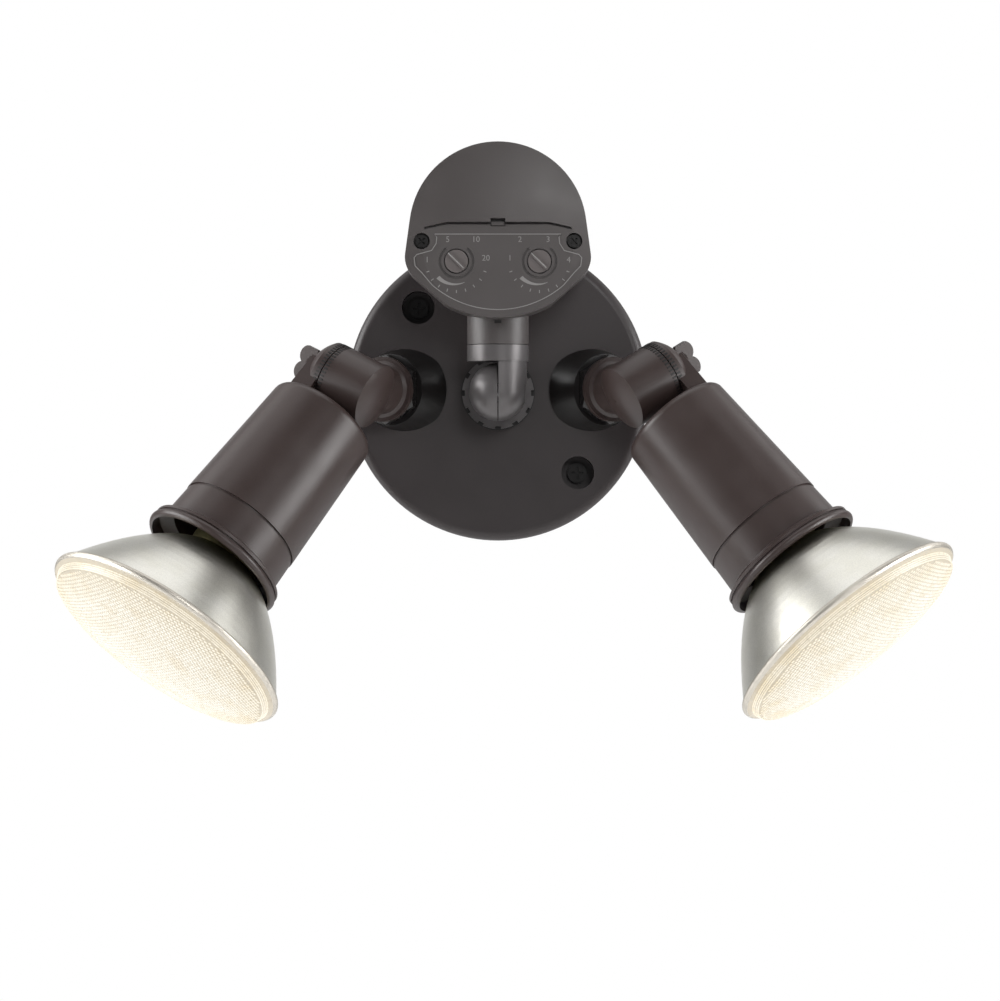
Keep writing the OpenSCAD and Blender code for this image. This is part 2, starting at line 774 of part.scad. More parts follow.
module reflector(side) color("silver") bulb_frame(side) rotate_extrude() {
  neck_r = bulb_neck_d / 2;
  difference() {
    polygon(concat([[base_d / 2 + base_step, base_high - base_joint_h], [neck_r, base_high + neck_flare_h]],
      reflector_points(neck_r, reflector_r, 0), [[0, reflector_high], [0, base_high - base_joint_h]]));
    polygon(concat([[0, pinch_low], [base_d / 2 - pinch_wall, pinch_low],
        [neck_r - glass_t, base_high + neck_flare_h + pinch_drop]],
      reflector_points(neck_r, reflector_r, glass_t),
      [[reflector_r - glass_t, reflector_high + cut], [0, reflector_high + cut]]));
    translate([0, base_high - base_joint_h - cut]) square([base_d / 2 + tap_clearance, cut + base_lap]);
  }
}

module rim_ring(side) color([0.55, 0.52, 0.49]) bulb_frame(side) rotate_extrude() difference() {
  union() {
    translate([bulb_r - rim_w / 2, rim_low + rim_w / 2]) circle(rim_w / 2, $fn = 32);
    translate([bulb_r - crimp_in, rim_low]) square([crimp_in - rim_w / 2, rim_w]);
  }
  polygon([[0, rim_low - cut], [reflector_r - rim_lip, rim_low - cut], [reflector_r, reflector_high],
    [reflector_r, rim_high + cut], [0, rim_high + cut]]);
}

lens_r = reflector_r;
lens_front_r = (lens_r * lens_r + lens_rise * lens_rise) / (2 * lens_rise);

module lens(side) color([0.95, 0.93, 0.85, 0.6]) bulb_frame(side) rotate_extrude() intersection() {
  union() {
    difference() {
      translate([0, bulb_front - lens_front_r]) circle(lens_front_r, $fn = 400);
      translate([0, bulb_front - lens_front_r - glass_t]) circle(lens_front_r, $fn = 400);
    }
    translate([lens_r - lens_foot_w, reflector_high]) square([lens_foot_w, rim_w - rim_seat + glass_t / 2]);
  }
  translate([0, reflector_high]) square([lens_r, lens_rise + rim_w]);
  translate([0, bulb_front - lens_front_r]) circle(lens_front_r, $fn = 400);
}

module bulb_base(side) color(zinc) bulb_frame(side) difference() {
  bar(base_low, base_high - base_joint_h + base_lap, base_d);
  bar(base_low - cut, base_high, base_d - 2 * base_wall);
}

module bulb_contact(side) color(black) bulb_frame(side) {
  cone_bar(bulb_tip + tip_h, base_low + 1, tip_d + 2, base_d - 2 * base_wall - tap_clearance);
  bar(bulb_tip, bulb_tip + tip_h + joined, tip_d);
}

module burner(side) color([0.9, 0.9, 0.85]) bulb_frame(side) {
  bar(neck_meet, neck_meet + burner_l, burner_d);
  translate([0, 0, neck_meet + burner_l]) sphere(d = burner_d);
  for (x = [-1, 1]) translate([x * burner_d / 3.2, 0, 0])
    bar(pinch_low, neck_meet + joined, burner_leg_d);
}

// Sensor stem, ball and neck

module sensor_washer() color(black) head_frame() difference() {
  bar(canopy_h, canopy_h + sensor_washer_t, sensor_nut_d + 1);
  bar(canopy_h - cut, canopy_h + sensor_washer_t + cut, sensor_stem_d + 2 * rubber_gap);
}

module sensor_locknut() color(bronze) head_frame() difference() {
  bar(sensor_nut_low, sensor_nut_high, sensor_nut_d);
  bar(sensor_nut_low - cut, sensor_nut_high + cut, sensor_stem_d + 2 * running_clearance);
  for (i = [0 : sensor_nut_notches - 1]) rotate([0, 0, i * 360 / sensor_nut_notches])
    translate([sensor_nut_d / 2 - notch_depth, -notch_w / 2, sensor_nut_low - cut])
      cube([2 * notch_depth, notch_w, sensor_nut_t + 2 * cut]);
}

module sensor_stem() color(bronze) difference() {
  union() {
    head_frame() bar(canopy_h - sensor_stem_tail, sensor_nut_high + 1, sensor_stem_d);
    intersection() {
      union() {
        head_frame() bar(sensor_nut_high + face_gap, sensor_out, ball_neck_d);
        ball_frame() sphere(d = ball_d);
      }
      union() {
        head_frame() translate([-ball_d, -ball_d, 0]) cube([ball_d - half_gap, 2 * ball_d, sensor_out * 2]);
        head_frame() translate([-ball_d, -ball_d, 0]) cube([2 * ball_d, 2 * ball_d, sensor_out - ball_r - 1]);
      }
    }
  }
  ball_frame() cross_bar(pivot_low - face_gap, ball_r, pivot_d + 2 * running_clearance);
  head_frame() bar(0, sensor_out - pivot_d, sensor_bore_d);
}

module sensor_neck() color(bronze) ball_frame() difference() {
  union() {
    intersection() {
      union() {
        sphere(d = ball_d);
        rotate([-90, 0, 0]) bar(0, neck_low + 1, ball_d);
      }
      translate([half_gap, -ball_d, -ball_d]) cube([2 * ball_d, 2 * ball_d, 2 * ball_d]);
    }
    rotate([-90, 0, 0]) bar(neck_low, pan_rise - face_gap / 2, collar_d);
    rotate([-90, 0, 0]) bar(neck_low + 1, pan_rise + pan_pin_h, pan_pin_d);
  }
  cross_bar(-ball_r, pivot_head_low, pivot_d + 2 * running_clearance);
  cross_bar(pivot_head_low, ball_r + cut, pivot_head_d + 2 * loose);
  rotate([-90, 0, 0]) bar(neck_low + 2, pan_rise + pan_pin_h + cut, sensor_bore_d);
}

module sensor_pivot_screw() color(zinc) ball_frame() {
  cross_bar(pivot_low, pivot_head_low + joined, pivot_d);
  cross_bar(pivot_head_low, ball_r - 1.6, pivot_head_d);
}

// Sensor head

module head_outline(inset) {
  hull() {
    intersection() {
      translate([0, head_rise]) circle(head_r - inset);
      translate([-head_r, head_rise]) square(2 * head_r);
    }
    for (side = [-1, 1]) translate([side * (head_w / 2 - head_corner_r), head_foot + corner_rise])
      circle(head_corner_r - inset, $fn = 48);
    intersection() {
      translate([0, head_foot + head_foot_r]) circle(head_foot_r - inset);
      translate([-head_r * 0.6, head_foot]) square([head_r * 1.2, head_corner_r]);
    }
  }
}

module head_slab(low, high, inset) translate([0, 0, low])
  linear_extrude(height = high - low) head_outline(inset);

module lens_band(r_low, r_high, half_angle, low, high) translate([0, head_rise, 0]) intersection() {
  difference() {
    bar(low, high, 2 * r_high);
    bar(low - cut, high + cut, 2 * r_low);
  }
  far = 3 * head_r;
  translate([0, 0, low - cut]) linear_extrude(height = high - low + 2 * cut)
    polygon([[0, 0], [far * sin(half_angle), far * cos(half_angle)], [far, far],
      [-far, far], [-far * sin(half_angle), far * cos(half_angle)]]);
}

lens_low = head_back + 5;

module at_head_screws() for (side = [-1, 1])
  translate([side * head_screw_spacing / 2, head_screw_rise, 0]) children();

module at_knobs() for (side = [-1, 1]) translate([side * knob_spacing / 2, knob_rise, 0]) children();

module sensor_housing() color(bronze) head_frame() difference() {
  union() {
    difference() {
      union() {
        head_slab(head_back, head_back + back_step, back_step);
        head_slab(head_back + back_step, head_split, 0);
      }
      head_slab(head_back + head_wall, head_split + cut, head_wall + lip_step);
    }
    up_neck() bar(pan_rise + face_gap / 2, head_foot + neck_in, collar_d);
    at_head_screws() bar(head_back + 1, head_split - seal_t, screw_post_d);
  }
  up_neck() bar(pan_rise - cut, pan_rise + pan_pin_h + face_gap, pan_pin_d + 2 * running_clearance);
  up_neck() bar(pan_rise, head_foot + neck_in + cut, sensor_bore_d);
  lens_band(lens_in_r, head_r + cut, lens_half_angle, lens_low, lens_low + lens_w);
  lens_band(lens_in_r - lens_reach, lens_in_r + joined, lens_half_angle - 3, lens_low + lens_lap,
    lens_low + lens_w - lens_lap);
  at_head_screws() bar(head_split - screw_hole_h, head_split + cut, head_screw_d + 2 * tap_clearance);
}

module sensor_lens() color([0.93, 0.93, 0.9]) head_frame()
  lens_band(lens_in_r, lens_in_r + lens_t, lens_half_angle, lens_low, lens_low + lens_w);

// The seal runs round the inner side of the screw posts
module housing_seal() color(black) head_frame() difference() {
  head_slab(head_split - seal_t, head_split, head_wall + lip_step);
  difference() {
    head_slab(head_split - seal_t - cut, head_split + cut, head_wall + lip_step + seal_w);
    at_head_screws() bar(head_split - seal_t - cut, head_split + cut, post_hole_d + 2 * seal_w);
  }
  at_head_screws() bar(head_split - seal_t - cut, head_split + cut, post_hole_d);
  for (side = [left, right]) on_side(side)
    translate([head_screw_spacing / 2, head_screw_rise - post_hole_d / 2, head_split - seal_t - cut])
      cube([head_r, post_hole_d, seal_t + 2 * cut]);
}

// A band along the slit, from low to high above its middle line
module slit_line(low, high) polygon(concat(
  [for (x = [-1, 1]) [x * slit_bend, slit_rise + high]],
  [[slit_l / 2, slit_rise - slit_drop + high], [slit_l / 2, slit_rise - slit_drop + low]],
  [for (x = [1, -1]) [x * slit_bend, slit_rise + low]],
  [[-slit_l / 2, slit_rise - slit_drop + low], [-slit_l / 2, slit_rise - slit_drop + high]]));

module dial_cover() color(bronze) head_frame() {
  dial_shell();
  translate([-tab_w / 2, slit_rise - tab_low + tab_gap, panel_out - slit_depth - joined])
    cube([tab_w, tab_low + tab_high - tab_gap, slit_depth + tab_high]);
}

module scale_groove() difference() {
  bar(panel_out - scale_groove_h, head_front, knob_recess_d);
  bar(0, head_front + cut, groove_in_d);
  translate([0, 0, panel_out - scale_groove_h - cut]) linear_extrude(height = head_front)
    polygon([[0, 0], [-knob_recess_d * sin(groove_open / 2), knob_recess_d * cos(groove_open / 2)],
      [knob_recess_d * sin(groove_open / 2), knob_recess_d * cos(groove_open / 2)]]);
}

module dial_shell() difference() {
  intersection() {
    head_slab(head_split, head_front, 0);
    translate([0, head_rise - dome_drop, head_front - dome_r]) sphere(r = dome_r, $fn = 160);
  }
  difference() {
    head_slab(head_split - cut, panel_out - cover_t, head_wall);
    at_head_screws() bar(head_split - cut, head_front, screw_post_d);
  }
  translate([-head_w, -slit_rise, panel_out]) cube([2 * head_w, 2 * slit_rise - slit_drop, head_front]);
  translate([0, 0, panel_out]) linear_extrude(height = head_front) slit_line(-slit_drop - 1, 0);
  translate([0, 0, panel_out - slit_depth]) linear_extrude(height = head_front)
    slit_line(-slit_w / 2, slit_w / 2);
  translate([-tab_w / 2 - tab_gap, slit_rise - tab_low, panel_out - slit_depth])
    cube([tab_w + 2 * tab_gap, tab_low + tab_room, head_front]);
  at_head_screws() {
    bar(head_screw_seat, head_front + cut, head_screw_head_d + 4 * loose);
    bar(0, head_front, head_screw_d + loose);
  }
  at_knobs() {
    bar(knob_floor, head_front + cut, knob_d + 2 * knob_gap);
    scale_groove();
    bar(head_split - cut, head_front, knob_shaft_d + 2 * running_clearance);
  }
}

module housing_screws() color(black) head_frame() at_head_screws() {
  difference() {
    bar(head_screw_seat, head_screw_seat + head_screw_head_h, head_screw_head_d);
    translate([0, 0, head_screw_seat + head_screw_head_h])
      cross_slot(head_screw_head_d * slot_share, head_slot_depth);
  }
  bar(head_split - screw_hole_h + 2, head_screw_seat + joined, head_screw_d);
}

module circuit_board() color("darkgreen") head_frame() difference() {
  translate([-board_w / 2, head_foot + board_rise, board_out]) cube([board_w, board_h, board_t]);
  at_knobs() bar(board_out - cut, board_front + cut, knob_shaft_d + 2 * loose);
}

module heat_detector() color(zinc) head_frame() translate([0, head_foot + detector_rise, 0])
  bar(board_out - detector_h, board_out, detector_d);

module relay() color([0.1, 0.2, 0.5]) head_frame()
  translate([-board_w / 2 + 4, head_foot + relay_rise, board_out - relay_size[2]]) cube(relay_size);

module dial_pots() color("steelblue") head_frame() at_knobs() difference() {
  translate([-pot_w / 2, -pot_w / 2, board_front]) cube([pot_w, pot_w, pot_h]);
  bar(board_front - cut, board_front + pot_h + cut, knob_shaft_d + 2 * running_clearance);
}

module dial_knob(side) head_frame() translate([side * knob_spacing / 2, knob_rise, 0]) {
  difference() {
    bar(knob_floor + face_gap, knob_floor + knob_h, knob_d);
    for (turn = [0, 180]) rotate([0, 0, turn - 45])
      translate([-knob_d / 2, rib_w / 2, knob_floor + knob_h - rib_h]) cube([knob_d, knob_d, rib_h + cut]);
  }
  bar(board_front + face_gap, knob_floor + face_gap + joined, knob_shaft_d);
}

module timer_knob() color([0.3, 0.28, 0.26]) dial_knob(left);
module range_knob() color([0.3, 0.28, 0.26]) dial_knob(right);

canopy();
wall_gasket();
crossbar();
cover_screws();
ground_screw();
splice_caps();
canopy_leads();
wedge_gasket(left);  // left_wedge_gasket
wedge_gasket(right);  // right_wedge_gasket
sensor_washer();
stem(left);  // left_stem
pivot_insert(left);  // left_pivot_insert
stem_leads(left);  // left_stem_leads
locknut(left);  // left_locknut
lamp_holder(left);  // left_lamp_holder
socket(left);  // left_socket
screw_shell(left);  // left_screw_shell
centre_contact(left);  // left_centre_contact
socket_screws(left);  // left_socket_screws
neck_ring(left);  // left_neck_ring
wing_screw(left);  // left_wing_screw
reflector(left);  // left_reflector
rim_ring(left);  // left_rim_ring
lens(left);  // left_lens
bulb_base(left);  // left_bulb_base
bulb_contact(left);  // left_bulb_contact
burner(left);  // left_burner
stem(right);  // right_stem
pivot_insert(right);  // right_pivot_insert
stem_leads(right);  // right_stem_leads
locknut(right);  // right_locknut
lamp_holder(right);  // right_lamp_holder
socket(right);  // right_socket
screw_shell(right);  // right_screw_shell
centre_contact(right);  // right_centre_contact
socket_screws(right);  // right_socket_screws
neck_ring(right);  // right_neck_ring
wing_screw(right);  // right_wing_screw
reflector(right);  // right_reflector
rim_ring(right);  // right_rim_ring
lens(right);  // right_lens
bulb_base(right);  // right_bulb_base
bulb_contact(right);  // right_bulb_contact
burner(right);  // right_burner
sensor_stem();
sensor_locknut();
sensor_neck();
sensor_pivot_screw();
sensor_housing();
dial_cover();
sensor_lens();
housing_seal();
housing_screws();
circuit_board();
heat_detector();
relay();
dial_pots();
timer_knob();
range_knob();
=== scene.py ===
import functools
import json
import math
from collections import namedtuple

import bmesh
import bpy
from bpy.props import FloatProperty, FloatVectorProperty, IntProperty, PointerProperty
from mathutils import Matrix, Vector


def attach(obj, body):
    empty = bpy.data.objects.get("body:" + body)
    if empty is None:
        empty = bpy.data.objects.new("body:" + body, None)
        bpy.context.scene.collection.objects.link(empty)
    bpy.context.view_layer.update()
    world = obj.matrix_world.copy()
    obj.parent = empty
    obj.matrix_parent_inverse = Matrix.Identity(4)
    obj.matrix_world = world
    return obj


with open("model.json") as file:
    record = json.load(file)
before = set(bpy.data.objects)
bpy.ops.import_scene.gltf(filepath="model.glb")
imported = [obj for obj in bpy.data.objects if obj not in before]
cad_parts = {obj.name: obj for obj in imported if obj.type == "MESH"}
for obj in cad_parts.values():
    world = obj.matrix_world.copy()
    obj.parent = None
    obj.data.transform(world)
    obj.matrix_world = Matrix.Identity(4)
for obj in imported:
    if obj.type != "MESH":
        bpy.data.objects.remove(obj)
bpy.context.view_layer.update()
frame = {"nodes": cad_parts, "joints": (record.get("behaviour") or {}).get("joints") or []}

bl_info = {
    "name": "Security light",
    "version": (1, 0, 0),
    "blender": (4, 5, 0),
    "location": "View3D > Sidebar > Security light",
    "description": "Finishes and fine detail of a security light with two lamps and a motion sensor",
    "category": "Object",
}

NODES = frame["nodes"]
JOINTS = {joint["name"]: joint for joint in frame["joints"]}
SIDES = ("left", "right")

# The dial panel, and the sphere that the cover's face is part of
PANEL_FACE = -0.0779
PANEL_FOOT = 0.0335
PANEL_RISE = 0.0705
PANEL_ROUND, ROUND_CENTRE = 0.0465, 0.05
ROUND_STEPS, ROUND_STEP = 20, 2.05
# The width of the line round the panel, which is lighter: a painted highlight on its raised edge
PANEL_LINE = 0.0004
DOME_HEIGHT = 0.0685
DOME_RADIUS = 0.2
DOME_STEP = 0.0031

# The marks round the dials; numbers are placed in millimetres from the dial's middle
NUMBERS = {"timer": (("1", -13.5, 0.6), ("5", -4.0, 10.0), ("10", 9.0, 10.0), ("20", 13.6, 1.4)),
           "range": (("1", -13.6, 1.4), ("2", -9.0, 10.0), ("3", 4.0, 10.0), ("4", 13.5, 0.6))}
FONT_SCALE = 1.4
MARK_THICKNESS = 0.0001
MARK_LIFT = 0.00003
TICKS = 9
TICK_START, TICK_STEP = 200, 17.5
TICK_RADIUS = 0.0140
TICK_SIZE = (0.0004, 0.0014)
# The wedge below each dial: a flat light mark, a painted highlight standing in for a raised crescent
WEDGE_START, WEDGE_STEP, WEDGE_STEPS = 221, 4.4, 16
WEDGE_OUTER, WEDGE_INNER, WEDGE_TAPER = 0.0122, 0.0103, 0.0017
# The rib on each knob: a thin light line along its crest, a painted highlight
RIB_RADIUS, RIB_FOOT, RIB_TIP, RIB_ANGLE = 0.0003, -0.0054, 0.0046, 135
RIB_CORE, RIB_SIDES = 0.00001, 12
# The slot on the sensor's collar: a near-black plate, painted shade for the slot's depth
SLOT_SIZE, SLOT_DEPTH, SLOT_PLACE = (0.0032, 0.0014), 0.0006, (0, -0.0604, 0.0308)

# The knuckles' teeth: near-black blocks along each seam, painted shade for the gaps between the interlocking
# teeth
TOOTH_RADIUS = 0.0156
TOOTH_HEIGHT = 0.0002
TOOTH_WIDTH = 0.48
SEAM_GAP = 0.0005

# A lens's glass skin, from its rim inward and from its top down
SKIN, SKIN_SHRINK = 0.0003, 0.985
BAND_INSET = 0.0022
BAND_PROFILE = ((0.0, 0.0105), (0.0004, 0.0088), (0.0010, 0.0079))
DOME_INSET = 0.0021
DOME_SHOULDER = 0.0072
DOME_STEPS = 24
DOME_CORE = 0.0001
LENS_SIDES, RIDGE_SIDES = 160, 128
RIDGE_FOOT, RIDGE_PITCH, RIDGE_RADIUS = 0.0102, 0.0008, 0.00035
PRISM_TURN = {"left": 38, "right": 24}
PRISM_RADIUS = 0.43
ROW_STEP = 0.866

# Lights: name, place, aim, power, width and height
LIGHTS = (
    ("front", (0.40, -1.45, 0.50), (0, 0, 0.05), 5.0, 0.45, 0.45),
    ("top", (0.0, 0.15, 1.30), (0, 0, 0), 7.5, 1.6, 1.3),
    ("left back", (-0.85, 0.30, 0.70), (0, 0, 0), 1.9, 0.8, 0.6),
    ("right back", (0.90, 0.38, 0.58), (0, 0, 0), 1.9, 0.8, 0.6),
    ("left", (-1.02, -0.20, 0.20), (0, 0, 0), 13.0, 0.8, 0.8),
    ("right", (1.00, -0.30, 0.10), (0, 0, 0), 9.0, 0.6, 0.6),
    ("under", (-0.10, -1.0, -1.0), (0, 0, -0.05), 4.0, 0.9, 0.5))
FLOOR_REACH, FLOOR_HEIGHT = 3, -0.45
CAMERA_X, CAMERA_Z = 0.00096, -0.0524
CAMERA_LENS, CAMERA_SENSOR = 149.86, 36.0

# Enamels: colour, or None for the one in the panel; roughness; size and height of the grain; the rest
ENAMELS = {
    "bronze": (None, 0.37, 0.0007, 0.000018, {}),
    # canopy: the bronze enamel made darker, painted shade for how the flat canopy is lit
    "canopy": (None, 0.44, 0.0007, 0.000018, {}),
    "plastic": (None, 0.42, 0.0005, 0.00003, {"spread": 0.08}),
    "swivel": (None, 0.35, 0.0005, 0.000015, {"spread": 0.08, "metal": 0.35}),
    # ink: the ink of the numbers and ticks, and a painted highlight on the panel line, the knobs' ribs and
    # the wedges
    "ink": (None, 0.55, 0.0005, 0.00001, {"spread": 0.08}),
    "rubber": ((0.012, 0.011, 0.011), 0.62, 0.0006, 0.00003, {}),
    "black_steel": ((0.016, 0.015, 0.015), 0.33, 0.0005, 0.00001, {"metal": 0.4}),
    "nut": ((0.010, 0.009, 0.009), 0.24, 0.0006, 0.000015, {}),
    "wedge": ((0.007, 0.006, 0.006), 0.34, 0.0006, 0.00001, {}),
    "orange": ((0.72, 0.22, 0.03), 0.42, 0.0006, 0.00003, {}),
    "wire": ((0.76, 0.75, 0.71), 0.40, 0.0006, 0.00001, {"spread": 0.05}),
    "porcelain": ((0.80, 0.79, 0.75), 0.16, 0.002, 0.00003, {"spread": 0.05, "coat": 0.5}),
    "black_glass": ((0.02, 0.02, 0.022), 0.12, 0.002, 0.00002, {"coat": 0.5}),
    "burner": ((0.90, 0.88, 0.80), 0.15, 0.002, 0.00002, {"spread": 0.03, "coat": 0.5}),
    "relay": ((0.03, 0.09, 0.30), 0.38, 0.0006, 0.00002, {}),
    "knob": ((0.095, 0.082, 0.080), 0.40, 0.0005, 0.00002, {}),
    # notch: near-black, painted shade in the knuckles' tooth gaps, on the collar slot and in the lamp
    # holders' mouths
    "notch": ((0.006, 0.005, 0.005), 0.60, 0.0005, 0.00001, {}),
}
CLOUD = 0.018

# Metals: colour, roughness, pitch and depth of their turned rings
METALS = {
    "zinc": ((0.58, 0.59, 0.61), 0.34, 0.0009, 0.00002),
    "green_steel": ((0.05, 0.30, 0.09), 0.36, 0.0009, 0.00002),
    "brass": ((0.74, 0.55, 0.26), 0.30, 0.0011, 0.00003),
}
RIM_METAL = (0.42, 0.0011, 0.00006)
BASE_METAL = ((0.60, 0.60, 0.60), 0.28, 0.0036, 0.0008)

# Lit glass: its colour in the panel, its colour at the edge, the valleys' shade, and its strength
GLASS = {
    "crest": ("glow", (0.93, 0.80, 0.56), 0.90, 0.74),
    "valley": ("valley", (0.60, 0.47, 0.28), 0.72, 0.54),
}
EDGE_START, EDGE_END = 0.66, 0.98
# Painted reflection of the dark lamp holder on the silvered glass: its colour, and the distances back from
# the reflector's front over which it fades into the silver
HOLDER_REFLECTION_SILVER, HOLDER_REFLECTION_START, HOLDER_REFLECTION_END = (0.40, 0.375, 0.20), 0.044, 0.032

# The world's light: for dull surfaces, and in mirrors, from where it brightens to its two levels
ROOM_LIGHT = 0.34
ROOM_MIRRORED = (0.72, 0.98, 0.16, 0.75)


# Places

Span = namedtuple("Span", "low high widest")


def place_on(origin, axis):
    """The matrix whose Z lies along an axis, at a point."""
    z = Vector(axis).normalized()
    x = Vector((0, 0, 1)) - z * z.z
    if x.length < 1e-4:
        x = Vector((1, 0, 0)) - z * z.x
    x.normalize()
    turn = Matrix((x, z.cross(x), z)).transposed().to_4x4()
    return Matrix.Translation(Vector(origin)) @ turn


def span(node, origin, axis):
    """The lowest and highest place of a node along an axis, and its greatest radius."""
    axis = Vector(axis).normalized()
    low, high, widest = 1.0, -1.0, 0.0
    for vertex in NODES[node].data.vertices:
        reach = vertex.co - Vector(origin)
        along = reach.dot(axis)
        low, high = min(low, along), max(high, along)
        widest = max(widest, (reach - axis * along).length)
    return Span(low, high, widest)


def joint_axis(joint, node):
    """A joint's centre, and its axis pointing to the side where a node reaches further."""
    centre = Vector(JOINTS[joint]["pos_m"])
    axis = Vector(JOINTS[joint]["axis"]).normalized()
    reach = span(node, centre, axis)
    return centre, axis if reach.high > -reach.low else -axis


def bulb_axis(side):
    """A point on a bulb's axis, and the direction that the bulb shines."""
    return joint_axis(side + "_bulb_turn", side + "_lens")


# Sizes and colours

def colour(name, description, default):
    return FloatVectorProperty(name=name, description=description, default=default, subtype="COLOR",
                               size=3, min=0, max=1)


def length(name, description, default):
    return FloatProperty(name=name, description=description, default=default, unit="LENGTH", min=0, max=1,
                         precision=5)


class SecurityLightSizes(bpy.types.PropertyGroup):
    """Sizes of the fine detail, and the camera's distance"""
    tooth_count: IntProperty(name="Knuckle teeth", description="Teeth round each knuckle's seam",
                             default=54, min=24, max=90)
    tooth_length: length("Tooth length", "Length of a knuckle's tooth along its axis", 0.0022)
    prism_pitch: length("Prism pitch", "Distance between the prisms on a lens", 0.0022)
    prism_height: length("Prism height", "How far a prism stands out of a lens", 0.0004)
    band_ridges: IntProperty(name="Lens ridges", description="Ridges round the side of a lens",
                             default=4, min=1, max=8)
    border_height: length("Dial border height", "Thickness of the line round the dial panel", 0.0005)
    numeral_height: length("Numeral height", "Height of the numbers beside the dials", 0.0027)
    camera_distance: length("Camera distance", "Distance from the camera to the wall", 2.0)


class SecurityLightColours(bpy.types.PropertyGroup):
    """Colours of the main finishes"""
    bronze: colour("Bronze enamel", "Colour of the cast metal", (0.036, 0.024, 0.022))
    # The canopy enamel is the bronze made darker: painted shade for how the canopy is lit
    canopy: colour("Canopy enamel", "Colour of the canopy", (0.027, 0.021, 0.0215))
    plastic: colour("Sensor plastic", "Colour of the sensor's shells", (0.058, 0.051, 0.050))
    swivel: colour("Swivel plastic", "Colour of the sensor's swivel", (0.105, 0.098, 0.099))
    silver: colour("Silvered glass", "Colour of the reflectors", (0.84, 0.83, 0.785))
    rim: colour("Crimped rim", "Colour of the ring round a lens", (0.66, 0.62, 0.55))
    glow: colour("Lens glow", "Colour of a lit lens", (1.0, 0.965, 0.87))
    valley: colour("Lens valley", "Colour between a lens's prisms", (0.84, 0.73, 0.53))
    # Also the colour of the painted highlight on the panel line, the knobs' ribs and the wedges
    ink: colour("Marking ink", "Colour of the numbers and ticks", (0.20, 0.192, 0.188))


# Materials

class Value:
    """A number in a material. Sums on it add the material's maths."""

    def __init__(self, finish, socket):
        self.finish, self.socket = finish, socket

    def _with(self, operation, *terms):
        return self.finish.add("ShaderNodeMath", {"operation": operation}, dict(enumerate(terms)))

    def __add__(self, other): return self._with("ADD", self, other)
    def __mul__(self, other): return self._with("MULTIPLY", self, other)
    def __rmul__(self, other): return self._with("MULTIPLY", self, other)
    def __rsub__(self, other): return self._with("SUBTRACT", other, self)
    def wave(self): return self._with("SINE", self)
    def or_more(self, other): return self._with("MAXIMUM", self, other)


class Finish:
    """A material under construction."""

    def __init__(self, name):
        self.material = bpy.data.materials.new(name)
        self.material.use_nodes = True
        self._start(self.material.node_tree)

    @classmethod
    def on(cls, tree):
        """The same tools on another shader tree."""
        finish = cls.__new__(cls)
        finish._start(tree)
        return finish

    def _start(self, tree):
        self.tree = tree
        self.tree.nodes.clear()
        self.coordinates = None

    def add(self, kind, settings=None, inputs=None, output=0):
        """A new node with its settings and inputs; gives one of its outputs."""
        node = self.tree.nodes.new(kind)
        for key, value in (settings or {}).items():
            setattr(node, key, value)
        for key, value in (inputs or {}).items():
            if isinstance(value, Value):
                self.tree.links.new(value.socket, node.inputs[key])
            elif hasattr(value, "__len__") and len(value) == 3 and node.inputs[key].type == "RGBA":
                node.inputs[key].default_value = (*value, 1)
            else:
                node.inputs[key].default_value = value
        return Value(self, node.outputs[output]) if len(node.outputs) else None

    def place(self):
        """Where a point of the object is, in metres."""
        if self.coordinates is None:
            self.coordinates = self.add("ShaderNodeTexCoord", output="Object")
        return self.coordinates

    def noise(self, size, detail=2.0, roughness=0.5):
        """Soft noise with grains of the given size in metres."""
        return self.add("ShaderNodeTexNoise", None, {"Vector": self.place(), "Scale": 1 / size,
                                                     "Detail": detail, "Roughness": roughness})

    def along(self, origin, axis):
        """Distance along an axis, in metres."""
        reach = self.add("ShaderNodeVectorMath", {"operation": "SUBTRACT"}, {0: self.place(), 1: origin})
        return self.add("ShaderNodeVectorMath", {"operation": "DOT_PRODUCT"}, {0: reach, 1: axis},
                        output="Value")

    def from_axis(self, origin, axis):
        """Distance from an axis, in metres."""
        reach = self.add("ShaderNodeVectorMath", {"operation": "SUBTRACT"}, {0: self.place(), 1: origin})
        side = self.add("ShaderNodeVectorMath", {"operation": "CROSS_PRODUCT"}, {0: reach, 1: axis})
        return self.add("ShaderNodeVectorMath", {"operation": "LENGTH"}, {0: side}, output="Value")

    def mix(self, factor, a, b, blend="MIX"):
        """A colour between two."""
        return self.add("ShaderNodeMix", {"data_type": "RGBA", "blend_type": blend},
                        {"Factor": factor, 6: a, 7: b}, output=2)

    def steps(self, value, low, high, to_low=0.0, to_high=1.0):
        """A value carried over from one range to another, and held at its ends."""
        return self.add("ShaderNodeMapRange", None, {"Value": value, "From Min": low, "From Max": high,
                                                     "To Min": to_low, "To Max": to_high})

    def bump(self, height, distance):
        """A normal from a height."""
        return self.add("ShaderNodeBump", None, {"Height": height, "Distance": distance, "Strength": 1.0})

    def surface(self, **inputs):
        """Ends the material in one shader with the given inputs."""
        names = {key.replace("_", " ").title(): value for key, value in inputs.items()}
        shader = self.add("ShaderNodeBsdfPrincipled", None, names)
        self.add("ShaderNodeOutputMaterial", None, {"Surface": shader})
        return self.material


def tint(base, factor):
    """A colour made lighter or darker."""
    return tuple(min(1.0, part * factor) for part in base)


